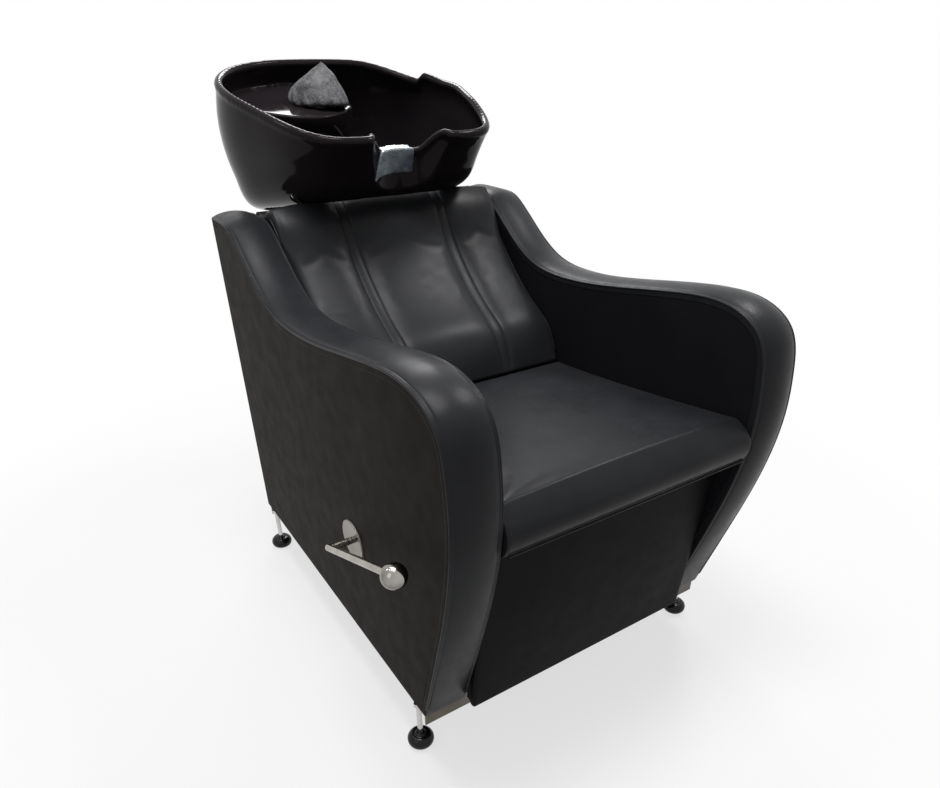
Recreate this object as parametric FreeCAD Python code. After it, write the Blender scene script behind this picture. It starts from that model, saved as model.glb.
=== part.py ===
import FreeCAD, Part
import math
import os

# Salon shampoo chair: leather tub seat on four levelling feet, lever-worked leg rest, tilting basin.
# Worked out with the chair's middle plane at X = 0, the rear of its arms at Y = 0 and the sitter facing -Y.
# At the end everything is moved so that the origin is under the middle of its bounding box.

V = FreeCAD.Vector
X_AXIS = V(1, 0, 0)
Z_AXIS = V(0, 0, 1)

# Driving sizes, in millimetres and degrees
chair_width = 640.0
arm_width = 78.0
arm_length = 858.0
arm_height = 647.0
board = 12.0
fit_gap = 0.3
run_gap = 0.05
cut_over = 20.0
bolt_radius = 4.0
bolt_head_radius = 7.0
bolt_head_height = 4.0

# Feet and foot bars
bar_clear = 75.0
bar_height = 30.0
bar_depth = 58.0
bar_wall = 3.0
bar_end_inset = 4.0
front_bar_face = 754.0
rear_bar_face = 2.0
glide_radius = 21.5
glide_rim = 7.0
glide_height = 26.0
glide_neck = 9.0
glide_socket = 8.0
glide_dome_share = 0.83
stem_radius = 5.0
stem_side_inset = 7.0
stem_spare = 1.0
nut_radius = 9.0
nut_height = 8.0

# Frame tubes
tube = 30.0
tube_wall = 2.0
rail_height = 25.0
front_post_place = 720.0
rear_post_place = 36.0
post_top_inset = 45.0
rear_panel_top = 680.0

# Arm padding
band_thickness = 26.0
band_lap = 12.0
band_crown = 8.0
band_crown_shares = [(0.0, 0.0), (0.25, 0.75), (0.5, 1.0), (0.75, 0.75), (1.0, 0.0)]

# Seat
seat_gap = 4.0
seat_slope_deg = 6.6
seat_front = 862.0
seat_front_top = 529.0
seat_lip_height = 76.0
seat_nose = 30.0
seat_crown = 12.0
seat_side_draw = 7.0
seat_side_shares = [(0.0, 0.0), (0.4, 0.0), (0.75, 0.0), (0.93, 0.12), (0.98, 0.45), (1.0, 1.0)]
deck_thickness = 15.0
deck_front = 782.0
front_rail_place = 712.0
rear_rail_place = 420.0

# Backrest, measured along its lean from where it meets the seat
back_foot_y = 384.0
back_foot_z = 476.0
back_lean_deg = 45.5
back_length = 412.0
back_thickness = 80.0
back_crown = 9.0
back_edge_draw = 14.0
back_seam = 106.0
back_seam_depth = 5.0
back_rear_share = 0.9
back_top_mid_share = 0.35
back_top_rear_share = 0.97
back_rail_shares = (0.15, 0.85)
back_board_top_inset = 40.0

# Leg rest and its lever
leg_pivot_y = 800.0
leg_pivot_z = 420.0
leg_length = 326.0
leg_thickness = 21.0
leg_board = 9.0
leg_slant_deg = 4.9
leg_gap = 2.0
leg_crown = 5.0
leg_edge = 4.0
leg_roll = 8.5
leg_edge_shares = [(0.0, 1.0), (0.3, 0.4), (1.0, 0.0)]
pivot_radius = 5.0
pivot_length = 40.0
crank_radius = 60.0
crank_rest_deg = 240.0
crank_thickness = 5.0
crank_eye = 11.0
crank_place = 190.0
link_thickness = 5.0
link_eye = 9.0
link_pin_radius = 4.0
shaft_y = 558.0
shaft_z = 343.0
shaft_radius = 6.0
bush_radius = 10.0
lever_reach = 50.0
lever_length = 262.0
lever_rise_deg = 23.8
knob_radius = 18.5
plate_radius = 38.0
plate_thickness = 2.5
plate_back = 23.0
plate_drop = 20.0

# Basin, in its own tilted frame: u runs rearward along the rim, w up from it
rim_tilt_deg = 13.0
rim_z = 942.0
rim_front = 237.0
rim_length = 489.0
rim_width = 490.0
basin_depth = 212.0
basin_wall = 9.0
basin_lip = 14.0
basin_floor = 14.0
floor_turn_deg = 23.3
scoop_radius = 82.0
scoop_reach = 61.0
scoop_drop = 43.0
scoop_flat = 42.0
shelf_left = 150.0
shelf_right = 38.0
shelf_front = 76.0
shelf_drop = 46.0
shelf_corner = 34.0
drain_place = -12.0
gel_thickness = 6.0
gel_half_width = 50.0
gel_skirt = 38.0

# Tilting mount
axle_y = 36.0
axle_z = 742.0
axle_radius = 9.0
bearing_radius = 17.0
bearing_length = 24.0
cradle_lug = 80.0
cradle_lug_thickness = 10.0
cradle_lug_radius = 17.0
cradle_plate = 5.0
cradle_plate_width = 220.0
cradle_front = 92.0
cradle_rear = 62.0
cradle_web_rear = 40.0
cradle_web_depth = 16.0
cradle_pad = 4.0
cradle_bolt_x = 97.0
cradle_bolt_front = 66.0
cradle_bolt_rear = 44.0

# Waste and mixer
flange_radius = 36.0
flange_thickness = 2.5
tail_radius = 20.0
tail_wall = 2.5
tail_length = 52.0
waste_nut_radius = 33.0
waste_nut_height = 12.0
seal_thickness = 3.0
strainer_radius = 24.0
strainer_height = 9.0
strainer_hole = 3.0
strainer_holes = 8
strainer_ring_share = 0.65
mixer_x = 37.0
mixer_u = 122.0
mixer_radius = 20.0
mixer_height = 24.0
tap_well_inset = 26.0
mixer_thread = 9.0
mixer_tail = 24.0
knob_height = 16.0
mixer_cap_share = 0.8
lever_stub = 13.0
lever_stub_radius = 3.5
wrap_radius = 61.0
wrap_height = 76.0
wrap_wall = 4.0
wrap_flat = 0.70
wrap_shares = [(0.9, 0.0), (1.0, 0.3), (0.62, 0.78), (0.0, 1.0)]

# Places that follow from the sizes above
half_width = chair_width / 2.0
arm_inner = half_width - arm_width
arm_bottom = bar_clear + bar_height
cavity_inner = arm_inner + board
cavity_outer = half_width - board
stem_x = half_width - stem_side_inset
foot_bar_places = {"front": (-front_bar_face, bar_depth), "rear": (-rear_bar_face - bar_depth, bar_depth)}
parts = {}


def rad(degrees):
    return math.radians(degrees)


def place(name, shape):
    parts[name] = shape


def group(solids):
    return Part.makeCompound(solids)


def block(x0, x1, y0, y1, z0, z1):
    return Part.makeBox(x1 - x0, y1 - y0, z1 - z0, V(x0, y0, z0))


def rod_x(x0, x1, y, z, radius):
    return Part.makeCylinder(radius, x1 - x0, V(x0, y, z), X_AXIS)


def rod_z(x, y, z0, z1, radius):
    return Part.makeCylinder(radius, z1 - z0, V(x, y, z0), Z_AXIS)


def hex_z(x, y, z0, z1, radius):
    turns = [rad(60 * k) for k in range(7)]
    corners = [V(x + radius * math.cos(turn), y + radius * math.sin(turn), z0) for turn in turns]
    return Part.Face(Part.makePolygon(corners)).extrude(V(0, 0, z1 - z0))


def tube_x(x0, x1, y0, y1, z0, z1, wall):
    inside = block(x0 - cut_over, x1 + cut_over, y0 + wall, y1 - wall, z0 + wall, z1 - wall)
    return block(x0, x1, y0, y1, z0, z1).cut(inside)


def tube_y(x0, x1, y0, y1, z0, z1, wall):
    inside = block(x0 + wall, x1 - wall, y0 - cut_over, y1 + cut_over, z0 + wall, z1 - wall)
    return block(x0, x1, y0, y1, z0, z1).cut(inside)


def tube_z(x0, x1, y0, y1, z0, z1, wall):
    inside = block(x0 + wall, x1 - wall, y0 + wall, y1 - wall, z0 - cut_over, z1 + cut_over)
    return block(x0, x1, y0, y1, z0, z1).cut(inside)


def mirror_x(shape):
    return shape.mirror(V(0, 0, 0), X_AXIS)


def spline(points):
    curve = Part.BSplineCurve()
    curve.interpolate(points)
    return curve.toShape()


def ring(points, steps):
    curve = Part.BSplineCurve()
    curve.interpolate(Points=points, PeriodicFlag=True, Parameters=steps)
    return Part.Wire([curve.toShape()])


def arc(a, b, c):
    return Part.Arc(a, b, c).toShape()


def line(a, b):
    return Part.LineSegment(a, b).toShape()


def prism_x(wire, length):
    return Part.Face(wire).extrude(V(length, 0, 0))


def cut_all(shape, tools):
    for tool in tools:
        shape = shape.cut(tool)
    return shape


# The arm's side outline: rear top corner, dip, armrest, nose, and the long slope in to the foot.
# First number is the share of arm_length forward from the rear, second the share of arm_height.
arm_shares = [(0.0, 1.0), (0.07, 1.0), (0.108, 0.994), (0.1375, 0.975), (0.21, 0.909), (0.305, 0.842),
              (0.421, 0.826), (0.576, 0.847), (0.774, 0.893), (0.857, 0.904), (0.915, 0.895), (0.971, 0.85),
              (0.994, 0.757), (1.0, 0.66), (0.988, 0.498), (0.944, 0.264), (0.886, 0.0)]


def arm_curve(inset):
    points = [(-a * arm_length, arm_bottom + h * arm_height) for a, h in arm_shares]
    moved = []
    last = len(points) - 1
    for k, (y, z) in enumerate(points):
        before = points[max(k - 1, 0)]
        after = points[min(k + 1, last)]
        run = (after[0] - before[0], after[1] - before[1])
        size = math.hypot(run[0], run[1])
        if k == 0:
            moved.append((y, z - inset))
        elif k == last:
            moved.append((y + inset * size / abs(run[1]), z))
        else:
            moved.append((y - inset * run[1] / size, z + inset * run[0] / size))
    return moved


def arm_wire(x, inset):
    points = [V(x, y, z) for y, z in arm_curve(inset)]
    rear_foot = V(x, 0, arm_bottom)
    return Part.Wire([spline(points), line(points[-1], rear_foot), line(rear_foot, points[0])])


def arm_top_at(y, inset):
    points = arm_curve(inset)
    for (y0, z0), (y1, z1) in zip(points, points[1:]):
        if y1 <= y <= y0:
            return z0 + (z1 - z0) * (y - y0) / (y1 - y0)
    return points[0][1]


def foot_bars():
    reach = half_width - bar_end_inset
    for end, (front, depth) in foot_bar_places.items():
        flange = block(-reach, reach, front, front + depth, arm_bottom - bar_wall, arm_bottom)
        face = front if end == "front" else front + depth - bar_wall
        bar = flange.fuse(block(-reach, reach, face, face + bar_wall, bar_clear, arm_bottom)).removeSplitter()
        holes = [rod_z(s * stem_x, front + depth / 2, bar_clear, arm_bottom + cut_over, stem_radius + run_gap)
                 for s in (-1, 1)]
        place(end + "_foot_bar", cut_all(bar, holes))


def glide(x, y):
    profile = [V(0, 0, 0), V(glide_radius - glide_rim / 4, 0, 0), V(glide_radius, 0, glide_rim / 4),
               V(glide_radius, 0, glide_rim), V(glide_neck, 0, glide_height), V(0, 0, glide_height)]
    dome_mid = V(glide_radius * glide_dome_share, 0, (glide_rim + glide_height) / 2 + glide_rim / 4)
    edges = [line(a, b) for a, b in zip(profile, profile[1:] + profile[:1])]
    edges[3] = arc(profile[3], dome_mid, profile[4])
    body = Part.Face(Part.Wire(edges)).revolve(V(0, 0, 0), Z_AXIS, 360)
    body.translate(V(x, y, 0))
    return body.cut(rod_z(x, y, glide_socket, glide_height + cut_over, stem_radius))


def feet():
    nuts = []
    for end, (front, depth) in foot_bar_places.items():
        for side, label in ((-1, "right"), (1, "left")):
            x = side * stem_x
            y = front + depth / 2
            place("glide_" + end + "_" + label, glide(x, y))
            stem = rod_z(x, y, glide_socket, arm_bottom - stem_spare, stem_radius)
            place("stem_" + end + "_" + label, stem)
            seat = arm_bottom - bar_wall
            nut = hex_z(x, y, seat - nut_height, seat, nut_radius)
            nuts.append(nut.cut(rod_z(x, y, 0, arm_bottom, stem_radius + run_gap)))
    place("lock_nuts", group(nuts))


def side_posts(side):
    posts = []
    low = arm_bottom + tube
    for place_y in (front_post_place, shaft_y, rear_post_place):
        top = arm_top_at(-place_y, 0) - post_top_inset
        posts.append(tube_z(cavity_inner, cavity_outer, -place_y - tube / 2, -place_y + tube / 2,
                            low, top, tube_wall))
    posts[1] = posts[1].cut(rod_x(arm_inner, half_width, -shaft_y, shaft_z, bush_radius))
    return group(posts if side > 0 else [mirror_x(p) for p in posts])


def arm_frames():
    front = -arm_length * arm_shares[-1][0] + band_thickness + band_lap
    sill = tube_y(cavity_inner, cavity_outer, front, -board, arm_bottom, arm_bottom + tube, tube_wall)
    for side, label in ((-1, "right"), (1, "left")):
        place("sill_" + label, sill if side > 0 else mirror_x(sill))
        place("posts_" + label, side_posts(side))
    bore = rod_x(-chair_width, chair_width, -shaft_y, shaft_z, shaft_radius + run_gap)
    left = rod_x(arm_inner, cavity_outer, -shaft_y, shaft_z, bush_radius)
    right = rod_x(-half_width, -arm_inner, -shaft_y, shaft_z, bush_radius)
    place("shaft_bushes", group([left.cut(bore), right.cut(bore)]))


def arm_panels():
    outer = prism_x(arm_wire(cavity_outer, band_lap), board)
    inner = prism_x(arm_wire(arm_inner, band_lap), board)
    inner = inner.cut(block(arm_inner, cavity_inner, -board, 0, 0, arm_bottom + arm_height))
    bush_hole = rod_x(-half_width, half_width, -shaft_y, shaft_z, bush_radius)
    inner = inner.cut(bush_hole).cut(rod_x(0, half_width, -leg_pivot_y, leg_pivot_z, pivot_radius))
    place("side_panel_left", outer)
    place("side_panel_right", mirror_x(outer).cut(bush_hole))
    place("inner_panel_left", inner)
    place("inner_panel_right", mirror_x(inner))


def arm_band():
    wires = [arm_wire(arm_inner + s * arm_width, -band_crown * c) for s, c in band_crown_shares]
    crowned = Part.makeLoft(wires, True, False)
    core = prism_x(arm_wire(cavity_inner, band_thickness), cavity_outer - cavity_inner)
    core = core.fuse(block(cavity_inner, cavity_outer, 0, cut_over, arm_bottom, arm_bottom + 2 * arm_height))
    sides = [prism_x(arm_wire(x, band_lap), board) for x in (arm_inner, cavity_outer)]
    return cut_all(crowned, [core] + sides)


def arms():
    arm_panels()
    band = arm_band()
    place("arm_band_left", band)
    place("arm_band_right", mirror_x(band))


def seat_bottom_at(y):
    return seat_front_top - seat_lip_height - (seat_front + y) * math.tan(rad(seat_slope_deg))


def seat_top_at(y):
    return seat_front_top - (seat_front + y) * math.tan(rad(seat_slope_deg))


def back_point(x, along, out):
    lean = rad(back_lean_deg)
    y = -back_foot_y + along * math.cos(lean) - out * math.sin(lean)
    z = back_foot_z + along * math.sin(lean) + out * math.cos(lean)
    return V(x, y, z)


def seat_section(x, crown, draw):
    rear_top = back_point(x, -4 * fit_gap, -draw)
    rear_low = back_point(x, -4 * fit_gap, -seat_lip_height)
    nose_y = -seat_front + draw
    front_top = V(x, -seat_front + seat_nose + draw, seat_front_top - draw / 2 + crown / 2)
    middle_y = -(seat_front + back_foot_y) / 2
    middle = V(x, middle_y, seat_top_at(middle_y) + crown - draw)
    front_low = V(x, -seat_front + seat_nose / 2 + draw, seat_bottom_at(-seat_front + seat_nose / 2))
    rear_low.z = seat_bottom_at(rear_low.y)
    nose_mid = V(x, nose_y, seat_front_top - seat_nose)
    nose_under = V(x, nose_y + seat_nose / 8, seat_front_top - seat_lip_height + seat_nose / 3)
    nose = spline([front_top, nose_mid, nose_under, front_low])
    edges = [arc(rear_top, middle, front_top), nose, line(front_low, rear_low), line(rear_low, rear_top)]
    return Part.Wire(edges)


def seat():
    reach = arm_inner - seat_gap
    shares = [(-a, d) for a, d in reversed(seat_side_shares[1:])] + seat_side_shares
    wires = [seat_section(s * reach, (1 - s * s) * seat_crown, d * seat_side_draw) for s, d in shares]
    place("seat_cushion", Part.makeLoft(wires, True, False))


def sloped_block(x0, x1, front, rear, drop, thickness):
    corners = [V(x0, -front, seat_bottom_at(-front) - drop), V(x0, -rear, seat_bottom_at(-rear) - drop)]
    low = [V(x0, c.y, c.z - thickness) for c in reversed(corners)]
    return prism_x(Part.makePolygon(corners + low + [corners[0]]), x1 - x0)


def seat_frame():
    deck = sloped_block(-arm_inner + seat_gap, arm_inner - seat_gap, deck_front, rear_rail_place - tube,
                        fit_gap, deck_thickness)
    heads = []
    for name, centre in (("front_seat_rail", front_rail_place), ("rear_seat_rail", rear_rail_place)):
        top = seat_bottom_at(-centre + tube / 2) - fit_gap - deck_thickness
        low = top - rail_height
        half = tube / 2
        place(name, tube_x(-arm_inner, arm_inner, -centre - half, -centre + half, low, top, tube_wall))
        for x in (-arm_inner / 2, arm_inner / 2):
            heads.append(rod_z(x, -centre, low - bolt_head_height, low, bolt_head_radius))
    place("deck_bolts", group(heads))
    place("seat_deck", deck)


# Backrest front line: share of back_length up from the seat, share of back_thickness out from the chord.
back_shares = [(0.0, 0.0), (0.065, 0.13), (0.19, 0.27), (0.31, 0.14), (0.45, -0.02), (0.60, -0.08),
               (0.75, -0.03), (0.885, 0.14), (0.97, 0.10)]


def back_section(x, puff, draw):
    low = back_length * back_shares[0][0] + draw / 2
    front = []
    for along, out in back_shares:
        swell = math.sin(math.pi * min(1.0, max(0.0, along)))
        stand = out * back_thickness - draw + puff * swell
        front.append(back_point(x, low + along * (back_length - draw), stand))
    top_mid = back_point(x, back_length + back_crown / 2 - draw, -back_thickness * back_top_mid_share)
    rear = -back_thickness * back_rear_share
    top_rear = back_point(x, back_length * back_top_rear_share - draw, rear)
    low_rear = back_point(x, low, rear)
    edges = [spline(front), arc(front[-1], top_mid, top_rear), line(top_rear, low_rear),
             line(low_rear, front[0])]
    return Part.Wire(edges)


def backrest():
    reach = arm_inner - seat_gap
    lobe = (reach + back_seam) / 2
    rows = [(-reach, 0.0, back_edge_draw), (-reach + back_edge_draw, 0.0, back_edge_draw / 3),
            (-lobe, back_crown, 0.0), (-back_seam, -back_seam_depth, 0.0), (0.0, back_crown, 0.0),
            (back_seam, -back_seam_depth, 0.0), (lobe, back_crown, 0.0),
            (reach - back_edge_draw, 0.0, back_edge_draw / 3), (reach, 0.0, back_edge_draw)]
    place("backrest_cushion", Part.makeLoft([back_section(*row) for row in rows], True, False))
    face = -back_thickness * back_rear_share - fit_gap
    top = back_length - back_board_top_inset
    corners = [back_point(-reach, 0, face), back_point(-reach, top, face),
               back_point(-reach, top, face - board), back_point(-reach, 0, face - board)]
    place("backrest_board", prism_x(Part.makePolygon(corners + [corners[0]]), 2 * reach))
    rails = []
    for share in back_rail_shares:
        half = rail_height / 2
        centre = back_point(0, top * share, face - board - half)
        rail = tube_x(-arm_inner, arm_inner, -tube / 2, tube / 2, -half, half, tube_wall)
        rail.rotate(V(0, 0, 0), X_AXIS, back_lean_deg)
        rail.translate(V(0, centre.y, centre.z))
        rails.append(rail)
    place("back_rails", group(rails))


def rear_panel():
    panel = block(-arm_inner, arm_inner, -board, 0, arm_bottom, rear_panel_top)
    for side in (-1, 1):
        for a, b, drop in ((arm_inner, cavity_inner, band_lap), (cavity_inner, cavity_outer, band_thickness)):
            top = arm_bottom + arm_height - drop
            low, high = sorted((side * a, side * b))
            panel = panel.fuse(block(low, high, -board, 0, arm_bottom, top))
    panel = panel.removeSplitter()
    place("rear_panel", cut_all(panel, [parts["arm_band_left"], parts["arm_band_right"]]))


def leg_point(x, down, out):
    slant = rad(leg_slant_deg)
    y = -leg_pivot_y + down * math.sin(slant) - out * math.cos(slant)
    z = leg_pivot_z - down * math.cos(slant) - out * math.sin(slant)
    return V(x, y, z)


def leg_section(x, puff, draw):
    front = leg_thickness / 2
    back = front - leg_thickness + leg_board
    foot = leg_length - draw
    middle = leg_point(x, foot / 2, front + puff - draw)
    low_front = leg_point(x, foot - front / 2, front - draw)
    low_mid = leg_point(x, foot, (front + back) / 2)
    edges = [arc(leg_point(x, 0, front - draw), middle, low_front),
             arc(low_front, low_mid, leg_point(x, foot - front / 2, back)),
             line(leg_point(x, foot - front / 2, back), leg_point(x, draw, back)),
             line(leg_point(x, draw, back), leg_point(x, 0, front - draw))]
    return Part.Wire(edges)


def leg_rest():
    reach = arm_inner - leg_gap
    rows = [(-reach + a * leg_edge, d * leg_edge) for a, d in leg_edge_shares]
    rows = rows + [(-x, d) for x, d in reversed(rows)]
    roll = rod_x(-reach, reach, -leg_pivot_y, leg_pivot_z, leg_roll)
    back = leg_thickness / 2 - leg_thickness + leg_board
    foot = leg_length - leg_board
    corners = [leg_point(-reach, 0, back), leg_point(-reach, 0, back - leg_board),
               leg_point(-reach, foot, back - leg_board), leg_point(-reach, foot, back)]
    panel = prism_x(Part.makePolygon(corners + [corners[0]]), 2 * reach)
    hole = rod_x(-arm_inner, arm_inner, -leg_pivot_y, leg_pivot_z, pivot_radius + run_gap)
    core = panel.fuse(roll)
    place("leg_rest_board", core.cut(hole).removeSplitter())
    wrap = rod_x(-reach, reach, -leg_pivot_y, leg_pivot_z, leg_thickness / 2)
    pad = Part.makeLoft([leg_section(x, leg_crown, draw) for x, draw in rows], True, True)
    place("leg_rest_pad", pad.cut(wrap).cut(panel).fuse(wrap.cut(roll).cut(panel)))
    pins = []
    for side in (-1, 1):
        inner = side * (reach - pivot_length)
        outer = side * cavity_inner
        pins.append(rod_x(min(inner, outer), max(inner, outer), -leg_pivot_y, leg_pivot_z, pivot_radius))
    place("leg_rest_pivots", group(pins))


def crank_offset(turn):
    angle = rad(crank_rest_deg + turn)
    return V(0, -crank_radius * math.cos(angle), crank_radius * math.sin(angle))


def plate_between(x0, thickness, a, b, radius_a, radius_b):
    flat = b - a
    flat.normalize()
    normal = V(0, -flat.z, flat.y)
    corners = [a + normal * radius_a, b + normal * radius_b, b - normal * radius_b, a - normal * radius_a]
    corners = [V(x0, c.y, c.z) for c in corners]
    web = prism_x(Part.makePolygon(corners + [corners[0]]), thickness)
    for eye, radius in ((a, radius_a), (b, radius_b)):
        web = web.fuse(rod_x(x0, x0 + thickness, eye.y, eye.z, radius))
    return web.removeSplitter()


def leg_linkage():
    shaft = V(0, -shaft_y, shaft_z)
    hinge = V(0, -leg_pivot_y, leg_pivot_z)
    crank_pin = shaft + crank_offset(0)
    leg_pin = hinge + crank_offset(0)
    cranks = []
    crank_pins = []
    links = []
    brackets = []
    leg_pins = []
    for side in (-1, 1):
        near = crank_place if side > 0 else -crank_place - crank_thickness
        link_at = near - fit_gap - link_thickness if side > 0 else near + crank_thickness + fit_gap
        crank = plate_between(near, crank_thickness, shaft, crank_pin, crank_eye, link_eye)
        cranks.append(crank.cut(rod_x(-arm_inner, arm_inner, shaft.y, shaft.z, shaft_radius)))
        pin_from = link_at - fit_gap if side > 0 else near
        pin_to = near + crank_thickness if side > 0 else link_at + link_thickness + fit_gap
        crank_pins.append(rod_x(pin_from, pin_to, crank_pin.y, crank_pin.z, link_pin_radius))
        cranks[-1] = cranks[-1].cut(crank_pins[-1])
        bracket = plate_between(near, crank_thickness, hinge, leg_pin, crank_eye, link_eye)
        foot = leg_point(near, crank_radius * 2, leg_thickness / 2 - leg_thickness)
        foot.x = 0
        bracket = bracket.fuse(plate_between(near, crank_thickness, leg_pin, foot, link_eye, link_eye))
        brackets.append(bracket)
        leg_pins.append(rod_x(pin_from, pin_to, leg_pin.y, leg_pin.z, link_pin_radius))
        link = plate_between(link_at, link_thickness, crank_pin, leg_pin, link_eye, link_eye)
        for pin in (crank_pin, leg_pin):
            link = link.cut(rod_x(-arm_inner, arm_inner, pin.y, pin.z, link_pin_radius + run_gap))
        links.append(link)
    behind = leg_thickness / 2 - leg_thickness
    deep = behind - 2 * crank_radius
    keep = [leg_point(-arm_inner, -cut_over, behind), leg_point(-arm_inner, -cut_over, deep),
            leg_point(-arm_inner, 3 * crank_radius, deep), leg_point(-arm_inner, 3 * crank_radius, behind)]
    room = prism_x(Part.makePolygon(keep + [keep[0]]), 2 * arm_inner)
    roll = rod_x(-arm_inner, arm_inner, hinge.y, hinge.z, leg_thickness / 2)
    brackets = [b.common(room).cut(roll).cut(group(leg_pins)) for b in brackets]
    place("crank_arms", group(cranks))
    place("crank_pins", group(crank_pins))
    place("drag_links", group(links))
    place("leg_rest_brackets", group(brackets))
    place("bracket_pins", group(leg_pins))


def lever():
    elbow = V(-half_width - lever_reach, -shaft_y, shaft_z)
    rise = rad(lever_rise_deg)
    toward = V(0, -math.cos(rise), math.sin(rise))
    ball = elbow + toward * lever_length
    bar_length = lever_length + shaft_radius - knob_radius / 2
    bar = Part.makeCylinder(shaft_radius, bar_length, elbow - toward * shaft_radius, toward)
    place("lever_shaft", rod_x(elbow.x, cavity_outer, -shaft_y, shaft_z, shaft_radius).cut(bar))
    place("lever_bar", bar)
    place("lever_knob", Part.makeSphere(knob_radius, ball).cut(bar))
    centre = V(-half_width, -shaft_y + plate_back, shaft_z - plate_drop)
    plate = rod_x(-half_width - plate_thickness, -half_width, centre.y, centre.z, plate_radius)
    place("lever_plate", plate.cut(rod_x(-chair_width, 0, -shaft_y, shaft_z, shaft_radius + 2 * fit_gap)))


# The rim seen from above: share of half the rim width, share of the rim length from its front.
rim_shares = [(0.0, 0.0), (0.25, 0.0), (0.47, 0.004), (0.655, 0.034), (0.775, 0.11), (0.845, 0.20),
              (0.935, 0.376), (1.0, 0.552), (0.985, 0.69), (0.88, 0.814), (0.71, 0.905), (0.40, 0.98),
              (0.0, 1.0)]
# Shell sections: share of the basin depth, share of the rim's size, share of the rim length moved rearward.
shell_shares = [(0.0, 1.0, 0.0), (0.09, 1.003, 0.005), (0.24, 1.004, 0.023), (0.38, 0.994, 0.031),
                (0.52, 0.972, 0.033), (0.66, 0.938, 0.028), (0.80, 0.880, 0.030), (0.92, 0.785, 0.046),
                (1.0, 0.60, 0.070)]
rim_centre = rim_length / 2 - rim_front


def rim_points(scale, inset):
    points = []
    for across, along in rim_shares:
        x = across * rim_width / 2 * scale
        u = (along - 0.5) * rim_length * scale
        keep = 1.0 - inset / math.hypot(x, u)
        points.append(V(x * keep, u * keep, 0))
    return points + [V(-p.x, p.y, 0) for p in reversed(points[1:-1])]


def rim_steps():
    points = rim_points(1.0, 0.0)
    steps = [0.0]
    for a, b in zip(points, points[1:] + points[:1]):
        steps.append(steps[-1] + a.distanceToPoint(b))
    return steps


def rim_ring(row, inset, depth, lift):
    down, scale, shift = row
    wire = ring(rim_points(scale, inset), rim_steps())
    wire.rotate(V(0, 0, 0), X_AXIS, -floor_turn_deg * down)
    wire.translate(V(0, rim_centre + shift * rim_length, lift - down * depth))
    return wire


def basin_loft(inset, open_top, floor):
    wires = [rim_ring(row, inset, basin_depth - floor, 0) for row in shell_shares]
    if open_top:
        lip = [rim_ring(shell_shares[0], basin_lip, basin_depth, lift) for lift in (open_top, 0)]
        wires = lip + wires[1:]
    return Part.makeLoft(wires, True, False)


def to_chair(shape):
    shape = shape.copy()
    shape.rotate(V(0, 0, 0), X_AXIS, rim_tilt_deg)
    shape.translate(V(0, 0, rim_z))
    return shape


def to_rim(shape):
    shape = shape.copy()
    shape.rotate(V(0, 0, 0), X_AXIS, -floor_turn_deg)
    shape.translate(V(0, rim_centre + shell_shares[-1][2] * rim_length, -basin_depth))
    return shape


def floor_to_chair(shape):
    return to_chair(to_rim(shape))


def scoop(radius, low, high):
    centre_u = -rim_front + scoop_reach - scoop_radius
    return Part.makeCylinder(radius, high - low, V(0, centre_u, low), Z_AXIS)


def scoop_opening():
    half = scoop_radius + basin_wall
    corners = [V(-half, 0, cut_over), V(-scoop_flat, 0, -scoop_drop), V(scoop_flat, 0, -scoop_drop),
               V(half, 0, cut_over)]
    face = Part.Face(Part.makePolygon(corners + [corners[0]]))
    slot = face.extrude(V(0, scoop_reach + cut_over + basin_wall, 0))
    slot.translate(V(0, -rim_front - cut_over, 0))
    return slot


def shelf_block():
    reach = rim_width
    tall = basin_depth + reach / 2
    trim = shelf_corner * (1 - math.sqrt(0.5))
    turn = V(shelf_right - trim, shelf_front + trim, 0)
    a = V(-reach, shelf_front, 0)
    b = V(shelf_right - shelf_corner, shelf_front, 0)
    c = V(shelf_right, shelf_front + shelf_corner, 0)
    d = V(shelf_right, reach, 0)
    e = V(-reach, reach, 0)
    wire = Part.Wire([line(a, b), arc(b, turn, c), line(c, d), line(d, e), line(e, a)])
    solid = Part.Face(wire).extrude(V(0, 0, tall - shelf_drop))
    solid.translate(V(0, 0, -tall))
    return solid


def tap_well():
    room = block(-shelf_left + tap_well_inset, shelf_right - tap_well_inset / 2, shelf_front + basin_wall,
                 rim_length, -2 * basin_depth, -shelf_drop - basin_wall)
    return room.common(basin_loft(tap_well_inset, 0, -cut_over))


def basin():
    outer = basin_loft(0, 0, 0)
    outer = outer.cut(scoop(scoop_radius, -basin_depth - cut_over, cut_over))
    hollow = basin_loft(basin_wall, cut_over / 4, basin_floor)
    hollow = hollow.cut(scoop(scoop_radius + basin_wall, -basin_depth - cut_over, 2 * cut_over))
    hollow = hollow.cut(shelf_block())
    drain = to_rim(rod_z(0, drain_place, -cut_over, 2 * basin_floor, tail_radius + fit_gap))
    tap = rod_z(-mixer_x, mixer_u, -basin_depth - cut_over, 0, mixer_thread + fit_gap)
    place("basin_bowl", to_chair(cut_all(outer, [hollow, scoop_opening(), drain, tap, tap_well()])))


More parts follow.
